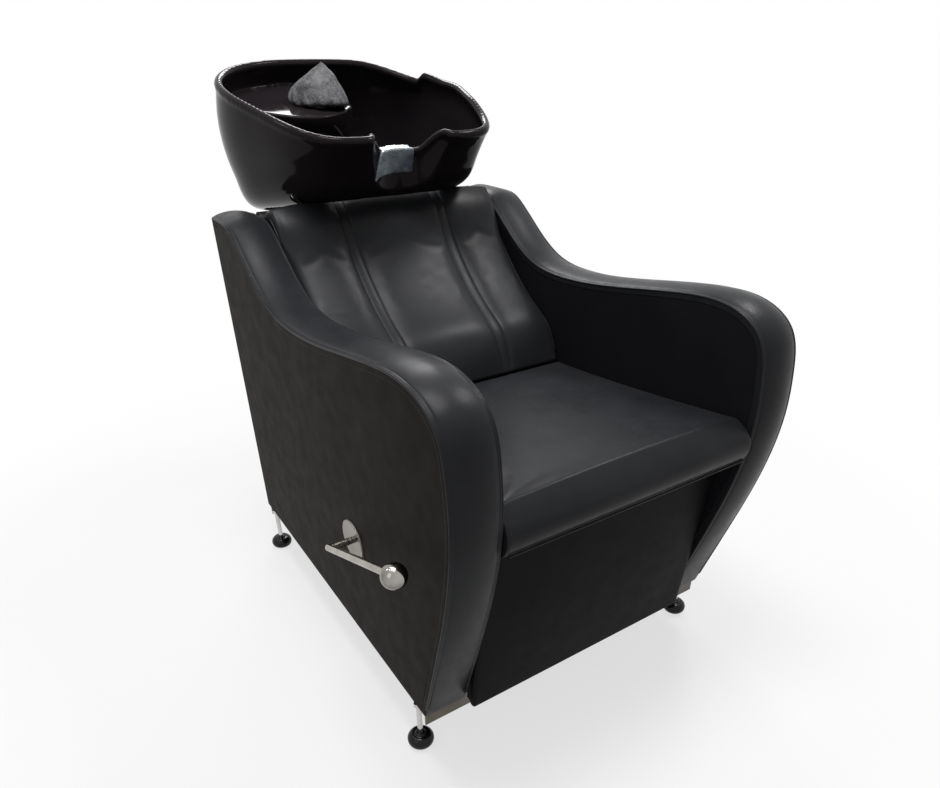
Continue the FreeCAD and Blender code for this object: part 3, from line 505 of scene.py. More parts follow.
looks = {
    "leather": (leather, "blackLeather", {
        "dark": (0.0122, 0.0127, 0.0145), "light": (0.0178, 0.0184, 0.0205), "roughness": (0.30, 0.40),
        "patch": 9.0, "grain": 900.0, "grainBump": 0.16, "creaseBump": 0.20, "specular": 0.09}),
    "panelSkin": (leather, "panelVinyl", {
        "dark": (0.0070, 0.0055, 0.0042), "light": (0.0092, 0.0073, 0.0056), "roughness": (0.52, 0.62),
        "patch": 6.0, "grain": 800.0, "grainBump": 0.16, "creaseBump": 0.12,
        "specular": 0.04, "tint": (1.0, 0.86, 0.76, 1.0)}),
    "innerSkin": (leather, "innerVinyl", {
        "dark": (0.0075, 0.0075, 0.0095), "light": (0.0105, 0.0105, 0.013), "roughness": (0.50, 0.60),
        "patch": 6.0, "grain": 800.0, "grainBump": 0.16, "creaseBump": 0.12, "specular": 0.05}),
    # the leg rest's cover is the same black leather with painted shade: its colour is darkened for the shade on
    # its front face
    "shadedLegLeather": (leather, "legLeatherPaintedShade", {
        "dark": (0.0058, 0.0050, 0.0052), "light": (0.0083, 0.0071, 0.0074), "roughness": (0.42, 0.52),
        "patch": 7.0, "grain": 800.0, "grainBump": 0.14, "creaseBump": 0.12, "specular": 0.035}),
    # painted reflection: the warm base and the brown specular tint stand for a brownish room reflected in the
    # black glaze
    "bowl": (gloss, "blackGlaze", {
        "dark": (0.0090, 0.0073, 0.0088), "light": (0.0125, 0.0100, 0.0112), "roughness": (0.05, 0.09),
        "patch": 7.0, "wave": 14.0, "waveBump": 0.12, "specular": 0.045, "tint": (1.0, 0.87, 0.80, 1.0)}),
    "gel": (gloss, "smokyGel", {
        "dark": (0.090, 0.110, 0.135), "light": (0.45, 0.51, 0.56), "roughness": (0.18, 0.32),
        "patch": 26.0, "wave": 60.0, "waveBump": 0.6, "through": 0.45, "bend": 1.30, "coat": 0.08}),
    "barSteel": (metal, "brushedBar", {
        "dark": (0.10, 0.09, 0.075), "light": (0.16, 0.145, 0.125), "roughness": (0.30, 0.44),
        "patch": 12.0, "lines": 120.0, "stretch": (0.05, 1.0, 1.0), "lineBump": 0.4, "metal": 1.0}),
    "leverSteel": (metal, "brushedLever", {
        "dark": (0.27, 0.25, 0.22), "light": (0.46, 0.43, 0.39), "roughness": (0.18, 0.30),
        "patch": 20.0, "lines": 200.0, "stretch": (1.0, 0.06, 0.12), "lineBump": 0.15, "metal": 1.0}),
    "knob": (metal, "polishedKnob", {
        "dark": (0.14, 0.13, 0.12), "light": (0.37, 0.35, 0.325), "roughness": (0.10, 0.20),
        "patch": 38.0, "lines": 60.0, "stretch": (1.0, 1.0, 0.5), "lineBump": 0.12, "metal": 1.0}),
    "chrome": (metal, "brightChrome", {
        "dark": (0.42, 0.41, 0.40), "light": (0.66, 0.65, 0.64), "roughness": (0.06, 0.14),
        "patch": 25.0, "lines": 90.0, "stretch": (1.0, 1.0, 0.3), "lineBump": 0.08, "metal": 1.0}),
    "plate": (metal, "satinPlate", {
        "dark": (0.27, 0.25, 0.225), "light": (0.34, 0.32, 0.29), "roughness": (0.40, 0.52),
        "patch": 18.0, "lines": 150.0, "stretch": (1.0, 0.1, 1.0), "lineBump": 0.2, "metal": 0.4}),
    "glide": (gloss, "glossyGlide", {
        "dark": (0.005, 0.005, 0.005), "light": (0.008, 0.008, 0.008), "roughness": (0.12, 0.22),
        "patch": 30.0, "wave": 90.0, "waveBump": 0.3, "specular": 0.2}),
    "cap": (gloss, "darkCap", {
        "dark": (0.006, 0.006, 0.006), "light": (0.011, 0.011, 0.011), "roughness": (0.30, 0.42),
        "patch": 30.0, "wave": 120.0, "waveBump": 0.2, "specular": 0.3}),
    "wood": (wood, "plainPly", {
        "dark": (0.30, 0.20, 0.11), "light": (0.48, 0.35, 0.22), "roughness": (0.55, 0.75),
        "lines": 60.0, "stretch": (0.12, 1.0, 1.0), "ringBump": 0.3}),
    "stainedBoard": (wood, "stainedBoard", {
        "dark": (0.007, 0.0065, 0.006), "light": (0.013, 0.012, 0.011), "roughness": (0.55, 0.7),
        "lines": 60.0, "stretch": (0.12, 1.0, 1.0), "ringBump": 0.3, "specular": 0.15}),
    "frameSteel": (metal, "paintedFrame", {
        "dark": (0.009, 0.009, 0.010), "light": (0.016, 0.016, 0.017), "roughness": (0.34, 0.5),
        "patch": 22.0, "lines": 500.0, "stretch": (1.0, 1.0, 1.0), "lineBump": 0.2, "specular": 0.3}),
    "rubber": (leather, "blackRubber", {
        "dark": (0.008, 0.008, 0.008), "light": (0.014, 0.014, 0.014), "roughness": (0.6, 0.75),
        "patch": 30.0, "grain": 1400.0, "grainBump": 0.15, "creaseBump": 0.1, "specular": 0.2}),
    "wrap": (speckle, "greyWrap", {
        "dark": (0.014, 0.0135, 0.016), "light": (0.115, 0.112, 0.120), "roughness": (0.40, 0.75),
        "speck": 330.0, "patch": 24.0, "fold": 39.6, "cloudiness": 0.10, "contrast": (0.36, 0.62),
        "speckBump": 0.5, "specular": 0.35}),
    "thread": (leather, "blackThread", {
        "dark": (0.005, 0.005, 0.006), "light": (0.009, 0.009, 0.010), "roughness": (0.55, 0.7),
        "patch": 60.0, "grain": 1500.0, "grainBump": 0.3, "creaseBump": 0.2, "specular": 0.15}),
}
finishes = {key: newMaterial(name, look, skin)[0] for key, (skin, name, look) in looks.items()}
print("materials", len(finishes))

feet = ("front_left", "front_right", "rear_left", "rear_right")
nodeFinish = {
    "barSteel": ["front_foot_bar", "rear_foot_bar"],
    "chrome": ["lock_nuts", "leg_rest_pivots", "bracket_pins", "crank_pins", "basin_bolts", "deck_bolts",
               "waste_tail", "waste_nut", "strainer", "mixer_body", "mixer_nut", "mixer_lever", "tilt_axle",
               *("stem_" + foot for foot in feet)],
    "knob": ["lever_knob"],
    "leverSteel": ["lever_shaft", "lever_bar"],
    "plate": ["lever_plate"],
    "panelSkin": ["side_panel_left", "side_panel_right", "rear_panel"],
    "innerSkin": ["inner_panel_left", "inner_panel_right"],
    "frameSteel": ["sill_left", "sill_right", "posts_left", "posts_right", "front_seat_rail", "rear_seat_rail",
                   "back_rails", "leg_rest_brackets", "crank_arms", "drag_links", "basin_cradle"],
    "cap": ["axle_bearings", "shaft_bushes"],
    "rubber": ["cradle_pads", "waste_seal"],
    "wood": ["seat_deck", "backrest_board"],
    "stainedBoard": ["leg_rest_board"],
    "glide": ["glide_" + foot for foot in feet],
    "leather": ["arm_band_left", "arm_band_right", "seat_cushion", "backrest_cushion"],
    "shadedLegLeather": ["leg_rest_pad"],
    "bowl": ["basin_bowl"],
    "gel": ["neck_rest"],
    "wrap": ["tap_wrap"],
}


def setMaterial(obj, *names):
    obj.data.materials.clear()
    for name in names:
        obj.data.materials.append(finishes[name])


for finish, members in nodeFinish.items():
    for node in members:
        setMaterial(nodes[node], finish)
print("carried nodes", sum(len(m) for m in nodeFinish.values()), "of", len(nodes))


def finishPiece(obj, body, replaced, finish):
    setMaterial(obj, *(finish if isinstance(finish, tuple) else (finish,)))
    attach(obj, body)
    if replaced:
        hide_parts(*replaced)
    return obj


# backrest

backrest = {
    "foot": (-384.0, 476.0), "length": 412.0, "thickness": 80.0, "halfWidth": 238.0, "step": 6.0,
    "edge": 20.0, "topEdge": 5.0, "crown": 6.0, "raise": 12.0, "seams": (96.0, 115.0), "seamDepth": 3.2,
    "channel": 1.4, "stitched": (5, 87), "pressure": 4.0, "cap": 1.4,
    "held": {"behind": 0.45, "foot": 12.0, "seam": 1.0, "side": 3.0},
    "piping": {"radius": 1.7, "out": 0.6, "behind": 17.0},
    "line": [(0.0, 0.0), (0.065, 0.13), (0.19, 0.27), (0.31, 0.14), (0.45, -0.02), (0.60, -0.08),
             (0.75, -0.03), (0.885, 0.14), (0.97, 0.10)],
}
lean = math.radians(45.5)


def backPoint(x, along, out):
    y = backrest["foot"][0] + along * math.cos(lean) - out * math.sin(lean)
    z = backrest["foot"][1] + along * math.sin(lean) + out * math.cos(lean)
    return (x, y, z)


def backColumns():
    atSeams = {seam + s * d for seam in backrest["seams"] for s in (-1, 1) for d in (0.0, 1.2, 2.6, 4.5)}
    insets = (0.0, 0.6, 2.0, 4.0, 7.0, 10.5, 14.0)
    return mirrored(backrest["halfWidth"], insets, backrest["step"], atSeams)


def edgeDraw(x, reach, edge):
    t = min(1.0, (reach - abs(x)) / edge)
    return edge * (1 - math.sqrt(max(0.0, 1 - (1 - t) ** 2)))


def backPuff(x):
    inner, outer = backrest["seams"]
    a = abs(x)
    deep = -backrest["seamDepth"]
    rise = backrest["crown"] - deep
    if a < inner:
        return deep + rise * math.sqrt(max(0.0, 1 - (a / inner) ** 2)) ** 0.8
    if a < outer:
        return deep + backrest["channel"] * math.sin(math.pi * (a - inner) / (outer - inner))
    t = (a - outer) / (backrest["halfWidth"] - outer)
    return deep + rise * math.sin(math.pi * min(1.0, t * 1.06) ** 0.75) ** 0.6 * (1 - 0.35 * t)


def backRing(x):
    puff = backPuff(x)
    low = edgeDraw(x, backrest["halfWidth"], backrest["edge"])
    high = edgeDraw(x, backrest["halfWidth"], backrest["topEdge"])
    length = backrest["length"] + backrest["raise"]
    front = []
    for along, out in backrest["line"]:
        swell = min(1.0, along / 0.12) if along < 0.5 else 1.0
        draw = low + (high - low) * ease((along - 0.7) / 0.25)
        up = draw / 2 + along * (length - draw)
        front.append(backPoint(x, up, out * backrest["thickness"] - draw + puff * swell))
    rear = -backrest["thickness"] * 0.9
    topOut = puff * 0.8
    mid = backPoint(x, length + 4.5 - high + topOut, -backrest["thickness"] * 0.35)
    back = backPoint(x, length * 0.97 - high + topOut * 0.5, rear)
    foot = backPoint(x, low / 2, rear)
    rows = [smoothLine(front, 72), smoothLine([front[-1], mid, back], 17)[1:],
            np.linspace(back, foot, 40)[1:], np.linspace(foot, front[0], 9)[1:-1]]
    return np.concatenate(rows)


def backLine(x, count, behind=0.0, first=0):
    # points up the front face at one x, set back by behind
    spots = [backPoint(x, a * backrest["length"], out * backrest["thickness"] - behind)
             for a, out in backrest["line"][first:]]
    return smoothLine(spots, count)


def makeBackrest():
    obj = loft("backPad", [backRing(x) for x in backColumns()])

    def isHeld(p):
        held = backrest["held"]
        dy, dz = p.y - backrest["foot"][0], p.z - backrest["foot"][1]
        along = dy * math.cos(lean) + dz * math.sin(lean)
        out = -dy * math.sin(lean) + dz * math.cos(lean)
        atSeam = min(abs(abs(p.x) - s) for s in backrest["seams"]) < held["seam"]
        atSide = backrest["halfWidth"] - abs(p.x) < held["side"]
        return out < -backrest["thickness"] * held["behind"] or along < held["foot"] or atSeam or atSide

    inflate(obj, backrest, isHeld)
    subdivide(obj)
    return finishPiece(obj, "frame", ["backrest_cushion"], "leather")


backPad = makeBackrest()
outward = (0.0, -math.sin(lean), math.cos(lean))
start, stop = backrest["stitched"]
seamLines = [settleOn(backPad, backLine(side * seam, 90)[start:stop], outward, 0.15)
             for seam in backrest["seams"] for side in (-1, 1)]
sewRows("backStitches", seamLines)
piping = backrest["piping"]
sideLines = [backLine(side * (backrest["halfWidth"] + piping["out"]), 80, piping["behind"], 1)
             for side in (-1, 1)]
pipeRows("backPiping", sideLines, piping["radius"])
print("backrest", len(backPad.data.polygons))

# seat

seat = {
    "front": 862.0, "frontTop": 529.0, "slope": 6.6, "lip": 76.0, "nose": 30.0, "crown": 12.0,
    "draw": 18.0, "tight": 4.0, "halfWidth": 238.0, "rear": -384.0, "step": 6.0, "pressure": 3.0, "cap": 1.2,
    "held": {"foot": 14.0, "rear": -400.0, "side": 2.5},
    "piping": {"radius": 1.6, "out": 0.8, "down": 5.0, "front": 34.0, "rear": 12.0, "under": 7.0,
               "inset": 2.6, "halfWidth": 232.0},
}


def seatTop(y):
    return seat["frontTop"] - (seat["front"] + y) * math.tan(math.radians(seat["slope"]))


def seatRing(x):
    draw = edgeDraw(x, seat["halfWidth"], seat["draw"])
    tight = edgeDraw(x, seat["halfWidth"], seat["tight"])
    share = x / seat["halfWidth"]
    crown = (1 - share * share) * seat["crown"] - 2.0
    rearTop = backPoint(x, -3.0, -draw)
    rearLow = backPoint(x, -3.0, -seat["lip"])
    rearLow = (x, rearLow[1], seatTop(rearLow[1]) - seat["lip"])
    frontTop = (x, -seat["front"] + seat["nose"] + tight, seat["frontTop"] - draw * 0.6 + crown / 2)
    middleY = (seat["rear"] - seat["front"]) / 2
    middle = (x, middleY, seatTop(middleY) + crown - draw)
    noseMid = (x, -seat["front"] + tight, seat["frontTop"] - seat["nose"])
    noseUnder = (x, -seat["front"] + tight + seat["nose"] / 8,
                 seat["frontTop"] - seat["lip"] + seat["nose"] / 3)
    lowY = -seat["front"] + seat["nose"] / 2 + tight
    frontLow = (x, lowY, seatTop(lowY) - seat["lip"])
    top = smoothLine([rearTop, middle, frontTop], 76)
    nose = smoothLine([frontTop, noseMid, noseUnder, frontLow], 26)[1:]
    bottom = np.linspace(frontLow, rearLow, 42)[1:]
    rear = np.linspace(rearLow, rearTop, 12)[1:-1]
    return np.concatenate([top, nose, bottom, rear])


def makeSeat():
    columns = mirrored(seat["halfWidth"], (0.0, 0.4, 1.3, 3.0, 5.5, 9.0, 14.0, 20.0), seat["step"])
    obj = loft("seatPad", [seatRing(x) for x in columns])

    def isHeld(p):
        held = seat["held"]
        low = seatTop(p.y) - p.z > seat["lip"] - held["foot"]
        return low or p.y > held["rear"] or seat["halfWidth"] - abs(p.x) < held["side"]

    inflate(obj, seat, isHeld)
    subdivide(obj)
    return finishPiece(obj, "frame", ["seat_cushion"], "leather")


def seatEdges():
    # the lines of the piping, along both sides and under the nose
    piping = seat["piping"]
    run = np.linspace(-seat["front"] + piping["front"], seat["rear"] - piping["rear"], 60)
    lines = []
    for side in (-1, 1):
        x = side * (seat["halfWidth"] + piping["out"])
        lines.append([(x, y, seatTop(y) - seat["draw"] + piping["down"]) for y in run])
    low = seat["frontTop"] - seat["lip"] + piping["under"]
    lines.append([(x, -seat["front"] + piping["inset"], low)
                  for x in np.linspace(-piping["halfWidth"], piping["halfWidth"], 60)])
    return lines


seatPad = makeSeat()
pipeRows("seatPiping", seatEdges(), seat["piping"]["radius"])
print("seat", len(seatPad.data.polygons))

# arms

arm = {
    "inner": 242.0, "outer": 320.0, "length": 858.0, "height": 647.0, "foot": 105.0,
    "lap": 12.0, "thickness": 26.0, "crown": 8.0, "corner": 3.0, "stations": 210,
    "welt": 1.9, "weltInset": 0.9, "footFlat": 0.85, "seam": 5.2, "groove": 1.1,
    "line": [(0.0, 1.0), (0.07, 1.0), (0.108, 0.994), (0.1375, 0.975), (0.21, 0.909), (0.305, 0.842),
             (0.421, 0.826), (0.576, 0.847), (0.774, 0.893), (0.857, 0.904), (0.915, 0.895), (0.971, 0.85),
             (0.994, 0.757), (1.0, 0.66), (0.988, 0.498), (0.944, 0.264), (0.886, 0.0)],
}


def armPath():
    # places along the arm's outline with the ways along it and out from it, in the side view
    control = [(-a * arm["length"], arm["foot"] + h * arm["height"]) for a, h in arm["line"]]
    path = smoothLine(control, arm["stations"])
    along = np.gradient(path, axis=0)
    along /= np.linalg.norm(along, axis=1)[:, None]
    along[0] = (-1.0, 0.0)
    return path, along, np.stack([along[:, 1], -along[:, 0]], axis=1)


armPlaces, armAlong, armOut = armPath()


def armPoint(k, x, lift):
    y, z = armPlaces[k] + armOut[k] * lift
    if k == arm["stations"] - 1 or z < arm["foot"]:
        step = (arm["foot"] - z) / armAlong[k][1]
        y, z = y + armAlong[k][0] * step, arm["foot"]
    return (x, y, z)


def armProfile():
    # places around the band: across from the inner edge, and lift from the outline
    wide = arm["outer"] - arm["inner"]
    across = spread([0.0, 0.9, 2.4, 4.2, arm["seam"], 6.2, 9.0, wide / 2], 5.0)
    across += [wide - a for a in reversed(across[:-1])]
    top = []
    for a in across:
        s = a / wide
        edge = min(a, wide - a)
        lift = arm["crown"] * (1 - (2 * s - 1) ** 2)
        if edge < arm["corner"]:
            t = 1 - edge / arm["corner"]
            lift -= arm["corner"] * (1 - math.sqrt(max(0.0, 1 - t * t)))
        lift -= arm["groove"] * math.exp(-(edge - arm["seam"]) ** 2)
        top.append((a, lift))
    side = [-arm["corner"] - 1.5, -7.0, -9.5, -arm["lap"]]
    down = [(wide, d) for d in side]
    under = [(wide - board, -arm["lap"]) for board in (4.0, 8.0, 12.0)]
    under += [(wide - 12.0 - c, -arm["thickness"]) for c in (0.0, 10.0, 27.0, 44.0, 54.0)]
    under += [(board, -arm["lap"]) for board in (12.0, 8.0, 4.0)]
    up = [(0.0, d) for d in reversed(side)]
    return top + down + under + up


def makeArmBand(side):
    hand = "left" if side > 0 else "right"
    profile = armProfile()
    rings = []
    for k in range(arm["stations"]):
        flat = 1 - arm["footFlat"] * ease((k / arm["stations"] - 0.8) / 0.2)
        rings.append([armPoint(k, side * (arm["inner"] + a), lift * flat if lift > 0 else lift)
                      for a, lift in profile])
    obj = loft("armBand" + hand.title(), rings)
    return finishPiece(obj, "frame", ["arm_band_" + hand], ("leather", "panelSkin"))


def paintSides(obj, side):
    # the lap beside the panel is cut from the panel's own skin
    for face in obj.data.polygons:
        if face.normal.x * side > 0.75:
            face.material_index = 1


def armLines(across, lift):
    # one line along each edge of both arms: across is measured in from the edge, lift from the outline
    wide = arm["outer"] - arm["inner"]
    lines = []
    for side in (-1, 1):
        for a in (across, wide - across):
            line = [armPoint(k, side * (arm["inner"] + a), lift) for k in range(arm["stations"])]
            lines.append(line[1:-3])
    return lines


for side in (-1, 1):
    band = makeArmBand(side)
    paintSides(band, side)
    print("arm band", len(band.data.polygons))
pipeRows("armPiping", armLines(arm["weltInset"], -arm["weltInset"]), arm["welt"])
sewRows("armStitches", armLines(arm["seam"], 0.35))

# leg rest

legRest = {
    "pivot": (-800.0, 420.0), "length": 326.0, "thickness": 21.0, "board": 9.0,
    "halfWidth": 240.0, "crown": 5.0, "edge": 4.0, "roll": 8.6, "rollStart": 183, "step": 6.0,
}
slant = math.radians(4.9)


def legPoint(x, down, out):
    y = legRest["pivot"][0] + down * math.sin(slant) - out * math.cos(slant)
    z = legRest["pivot"][1] - down * math.cos(slant) - out * math.sin(slant)
    return (x, y, z)


def legRing(x):
    draw = edgeDraw(x, legRest["halfWidth"], legRest["edge"])
    front = legRest["thickness"] / 2
    back = front - legRest["thickness"] + legRest["board"]
    foot = legRest["length"] - draw
    turns = [math.radians(turn) for turn in range(legRest["rollStart"], 0, -12)]
    spots = [(-front * math.sin(a), front * math.cos(a)) for a in turns]
    crown = legRest["crown"] * (1 - (x / legRest["halfWidth"]) ** 4) - draw
    for k in range(57):
        t = k / 56
        spots.append((t * (foot - front / 2), front + crown * math.sin(math.pi * t) - draw * ease(t * 8)))
    middle = (front - draw + back) / 2
    half = (front - draw - back) / 2
    for turn in range(75, -90, -15):
        a = math.radians(turn)
        spots.append((foot - front / 2 + front / 2 * math.cos(a), middle + half * math.sin(a)))
    meet = math.sqrt(legRest["roll"] ** 2 - back ** 2)
    for k in range(40):
        spots.append((foot - front / 2 + (meet - foot + front / 2) * k / 39, back))
    start = math.degrees(math.atan2(-meet, back))
    for k in range(1, 24):
        a = math.radians(start + (legRest["rollStart"] - start) * k / 23)
        spots.append((-legRest["roll"] * math.sin(a), legRest["roll"] * math.cos(a)))
    return [legPoint(x, d, o) for d, o in spots]


def makeLegRest():
    rings = [legRing(x) for x in mirrored(legRest["halfWidth"], (0.0, 0.3, 1.0, 2.2, 4.0), legRest["step"])]
    count = len(rings[0])
    last = (len(rings) - 1) * count
    ends = [tuple(range(count)), tuple(last + k for k in reversed(range(count)))]
    obj = meshFrom("legPad", np.concatenate(rings), sideFaces(len(rings), count) + ends)
    # the cover takes the black leather darkened with painted shade
    return finishPiece(obj, "leg_rest", ["leg_rest_pad"], "shadedLegLeather")


legPad = makeLegRest()
print("leg rest", len(legPad.data.polygons))

# bowl

bowl = {"voxel": 0.0027, "rounds": 12, "tilt": 13.0, "rimHeight": 942.0, "rimCentre": 7.5,
        "rimLength": 489.0, "rimWidth": 490.0, "rollRadius": 8.6, "rollInset": 6.0, "rollDrop": 4.6,
        "scoopCentre": -258.0, "scoopRadius": 86.5,
        "rim": [(0.25, 0.0), (0.47, 0.004), (0.655, 0.034), (0.775, 0.11), (0.845, 0.20), (0.935, 0.376),
                (1.0, 0.552), (0.985, 0.69), (0.88, 0.814), (0.71, 0.905), (0.40, 0.98), (0.0, 1.0)],
        "ledge": {"left": -157.0, "right": 20.0, "front": -20.0, "rear": 170.0, "top": -20.0, "bulge": 38.0},
        "dip": {"start": 24.0, "deepest": 57.0, "end": 61.5, "depth": 15.0, "rise": 9.0, "risen": (70.0, 92.0),
                "gone": (108.0, 140.0), "band": 55.0},
        "skirt": {"middle": (88.0, 744.8), "slope": -0.1817, "rise": 70.0, "inside": 112.0, "blend": 26.0,
                  "out": 10.0, "down": 10.0}}
rimTurn = Matrix.Rotation(math.radians(bowl["tilt"]), 3, "X")
rimBase = Vector((0, 0, bowl["rimHeight"]))


def intoRim(point):
    # row frame, metres, to the rim's own axes, in millimetres
    return rimTurn.transposed() @ (toChair(point) - rimBase)


def outOfRim(point):
    return toRow(rimTurn @ point + rimBase)


def rollPath():
    # middle line of the rolled rim, then down each side of the neck notch: (x, u, w, radius)
    half = []
    for across, along in bowl["rim"]:
        x = across * bowl["rimWidth"] / 2
        u = (along - 0.5) * bowl["rimLength"]
        keep = 1.0 - bowl["rollInset"] / math.hypot(x, u)
        half.append((x * keep, u * keep + bowl["rimCentre"]))
    half = [(90.0, half[0][1])] + half[1:]
    outline = half + [(-x, u) for x, u in reversed(half[:-1])]
    roll = [(x, u, -bowl["rollDrop"], bowl["rollRadius"]) for x, u in smoothLine(outline, 230)]
    notch = []
    for x, w, radius in ((80.0, -4.0, 8.2), (73.0, -5.5, 7.6), (64.0, -15.0, 6.8), (53.0, -30.0, 6.5),
                         (42.0, -41.5, 6.4), (28.0, -45.0, 6.4), (14.0, -46.0, 6.4), (0.0, -46.3, 6.4)):
        notch.append((x, bowl["scoopCentre"] + math.sqrt(bowl["scoopRadius"] ** 2 - x * x), w, radius))
    right = list(reversed(notch))
    left = [(-x, u, w, radius) for x, u, w, radius in notch]
    return np.array(right + roll + left[:-1])


def rollSolid():
    path = smoothLine(rollPath(), 420)[:-2]
    count, sides = len(path), 14
    points = []
    for k in range(count):
        ahead = path[(k + 1) % count][:3] - path[k - 1][:3]
        way = Vector(ahead).normalized()
        across = way.cross(Vector((0, 0, 1))).normalized()
        up = across.cross(way)
        for n in range(sides):
            turn = 2 * math.pi * n / sides
            spot = Vector(path[k][:3]) + (across * math.cos(turn) + up * math.sin(turn)) * path[k][3]
            points.append(toChair(outOfRim(spot)))
    return meshFrom("rimRoll", points, sideFaces(count, sides, closed=True))


def ledgeShift(point, normal):
    # the tap ledge bows out towards the sitter, most at its top
    p = intoRim(point)
    ledge = bowl["ledge"]
    t = (p.x - ledge["left"]) / (ledge["right"] - ledge["left"])
    if 0 < t < 1 and p.z < ledge["top"] and ledge["front"] < p.y < ledge["rear"]:
        high = ease((p.z + 150) / 95) * ease((ledge["top"] - p.z) / 18)
        near = ease((p.y + 10) / 62) * ease((ledge["rear"] - p.y) / 60)
        p.y -= ledge["bulge"] * math.sin(math.pi * t) ** 0.85 * high * near
    return outOfRim(p)


def dipShift(point, normal):
    # the rim dips towards the rear on the far side, steps up again, and rises a little beside the neck
    p = intoRim(point)
    dip = bowl["dip"]
    angle = math.degrees(math.atan2(p.x, p.y - bowl["rimCentre"]))
    near = ease((p.z + dip["band"]) / (dip["band"] - 10.0))
    if near > 0 and dip["start"] < angle < dip["gone"][1]:
        sunk = ease((angle - dip["start"]) / (dip["deepest"] - dip["start"]))
        back = ease((angle - dip["deepest"]) / (dip["end"] - dip["deepest"]))
        risen = ease((angle - dip["risen"][0]) / (dip["risen"][1] - dip["risen"][0]))
        gone = ease((angle - dip["gone"][0]) / (dip["gone"][1] - dip["gone"][0]))
        p.z += near * (dip["rise"] * risen * (1 - gone) - dip["depth"] * sunk * (1 - back))
    return outOfRim(p)


def skirtShift(point, normal):
    # the shell's foot is full, and hides what holds it from below
    p = toChair(point)
    skirt = bowl["skirt"]
    middleY, middleZ = skirt["middle"]
    reach = Vector((p.x, p.y - middleY, 0))
    height = p.z - (middleZ + (p.y - middleY) * skirt["slope"])
    s = ease((skirt["rise"] - height) / skirt["rise"]) * ease((reach.length - skirt["inside"]) / skirt["blend"])
    if s > 0 and normal.dot(reach.normalized()) > -0.2 and normal.z < 0.5:
        p += reach.normalized() * skirt["out"] * s - Vector((0, 0, skirt["down"] * s))
    return toRow(p)


def makeBowl():
    obj = solidCopy("basin_bowl", "bowlShell")
    roll = rollSolid()
    both = bmesh.new()
    both.from_mesh(obj.data)
    both.from_mesh(roll.data)
    both.to_mesh(obj.data)
    both.free()
    bpy.data.objects.remove(roll)
    remesh(obj, bowl)
    for shift in (ledgeShift, skirtShift, dipShift):
        moveVertices(obj, shift)
    return finishPiece(obj, "basin", ["basin_bowl"], "bowl")


bowlShell = makeBowl()
print("bowl", len(bowlShell.data.polygons))

# neck rest and tap wrap

neck = {"voxel": 0.0018, "rounds": 7, "centre": -258.0, "top": -37.0, "height": 44.0,
        "narrow": 0.68, "widen": 0.27, "aside": 6.0, "turn": 11.0}


def neckShift(point, normal):
    # the soft rest has slipped a little round the notch, and hangs aslant
    p = intoRim(point)
    down = (neck["top"] - p.z) / neck["height"]
    reach = math.hypot(p.x, p.y - neck["centre"])
    turn = math.atan2(p.x, p.y - neck["centre"])
    turn = turn * (neck["narrow"] + neck["widen"] * down) - math.radians(neck["aside"] + neck["turn"] * down)
    return outOfRim(Vector((reach * math.sin(turn), neck["centre"] + reach * math.cos(turn), p.z)))


gel = solidCopy("neck_rest", "neckGel")
remesh(gel, neck)
moveVertices(gel, neckShift)
finishPiece(gel, "basin", ["neck_rest"], "gel")
print("neck rest", len(gel.data.polygons))

# The wrap is a soft bag gathered under the tap and pinched flat to a peak: each row is
# (height, left reach, right reach, half depth, moved towards the sitter).
wrap = {"centre": (-37.0, 122.0, 937.0), "turn": -33.4, "around": 72, "pleats": 13, "pleat": 2.0,
        "fold": 3.6, "foldScale": 22.0,
        "rows": [(-20.0, -22.0, 44.0, 14.0, 4.0), (-17.0, -40.0, 60.0, 27.0, 7.0),
                 (-12.0, -49.0, 68.0, 33.0, 9.0), (-5.0, -52.0, 66.0, 34.0, 7.0), (5.0, -51.0, 62.0, 32.0, 5.0),
                 (15.0, -45.0, 57.0, 28.0, 4.5), (27.0, -31.0, 50.0, 23.0, 4.0), (40.0, -11.0, 41.0, 14.0, 1.5),
                 (50.0, 4.0, 31.0, 7.0, 0.0), (56.0, 14.0, 25.0, 2.6, 0.0), (58.5, 17.0, 22.0, 1.0, 0.0)]}


def wrapRing(row):
    height, left, right, depth, near = row
    turn = math.radians(wrap["turn"])
    across = Vector((math.cos(turn), math.sin(turn), 0))
    away = Vector((-math.sin(turn), math.cos(turn), 0))
    base = wrap["rows"][0][0]
    up = (height - base) / (wrap["rows"][-1][0] - base)
    ring = []
    for k in range(wrap["around"]):
        a = 2 * math.pi * k / wrap["around"]
        c, s = math.cos(a), math.sin(a)
        h = (left + right) / 2 + (right - left) / 2 * math.copysign(abs(c) ** 0.9, c)
        d = depth * math.copysign(abs(s) ** 0.8, s) - near
        pleat = wrap["pleat"] * math.sin(wrap["pleats"] * a + 1.0) * (1 - up) ** 2
        p = Vector(wrap["centre"]) + across * (h + c * pleat) + away * (d + s * pleat * 2)
        p.z += height
        rough = noise.noise(p / wrap["foldScale"]) * wrap["fold"] * min(1.0, depth / 14.0)
        ring.append(p + away * math.copysign(rough, s) + across * c * rough * 0.5)
    return ring


tapWrap = loft("tapWrap", [wrapRing(row) for row in smoothLine(wrap["rows"], 44)])
subdivide(tapWrap)
finishPiece(tapWrap, "basin", ["tap_wrap"], "wrap")
print("tap wrap", len(tapWrap.data.polygons))

# glides and the axle's end cap, turned shapes

glide = {"profile": [(4.0, 0.0), (14.0, 0.0), (18.4, 1.8), (21.8, 5.4), (23.2, 10.6), (22.4, 16.0),
                     (19.2, 20.6), (14.0, 23.6), (9.0, 24.8), (8.2, 26.0), (3.0, 26.0)], "around": 56}
cap = {"profile": [(3.0, 0.0), (10.5, 0.0), (11.0, 1.5), (10.2, 5.0), (7.6, 8.0), (4.0, 9.6), (1.2, 10.0)],
       "around": 40, "place": (231.0, -39.0, 756.0)}


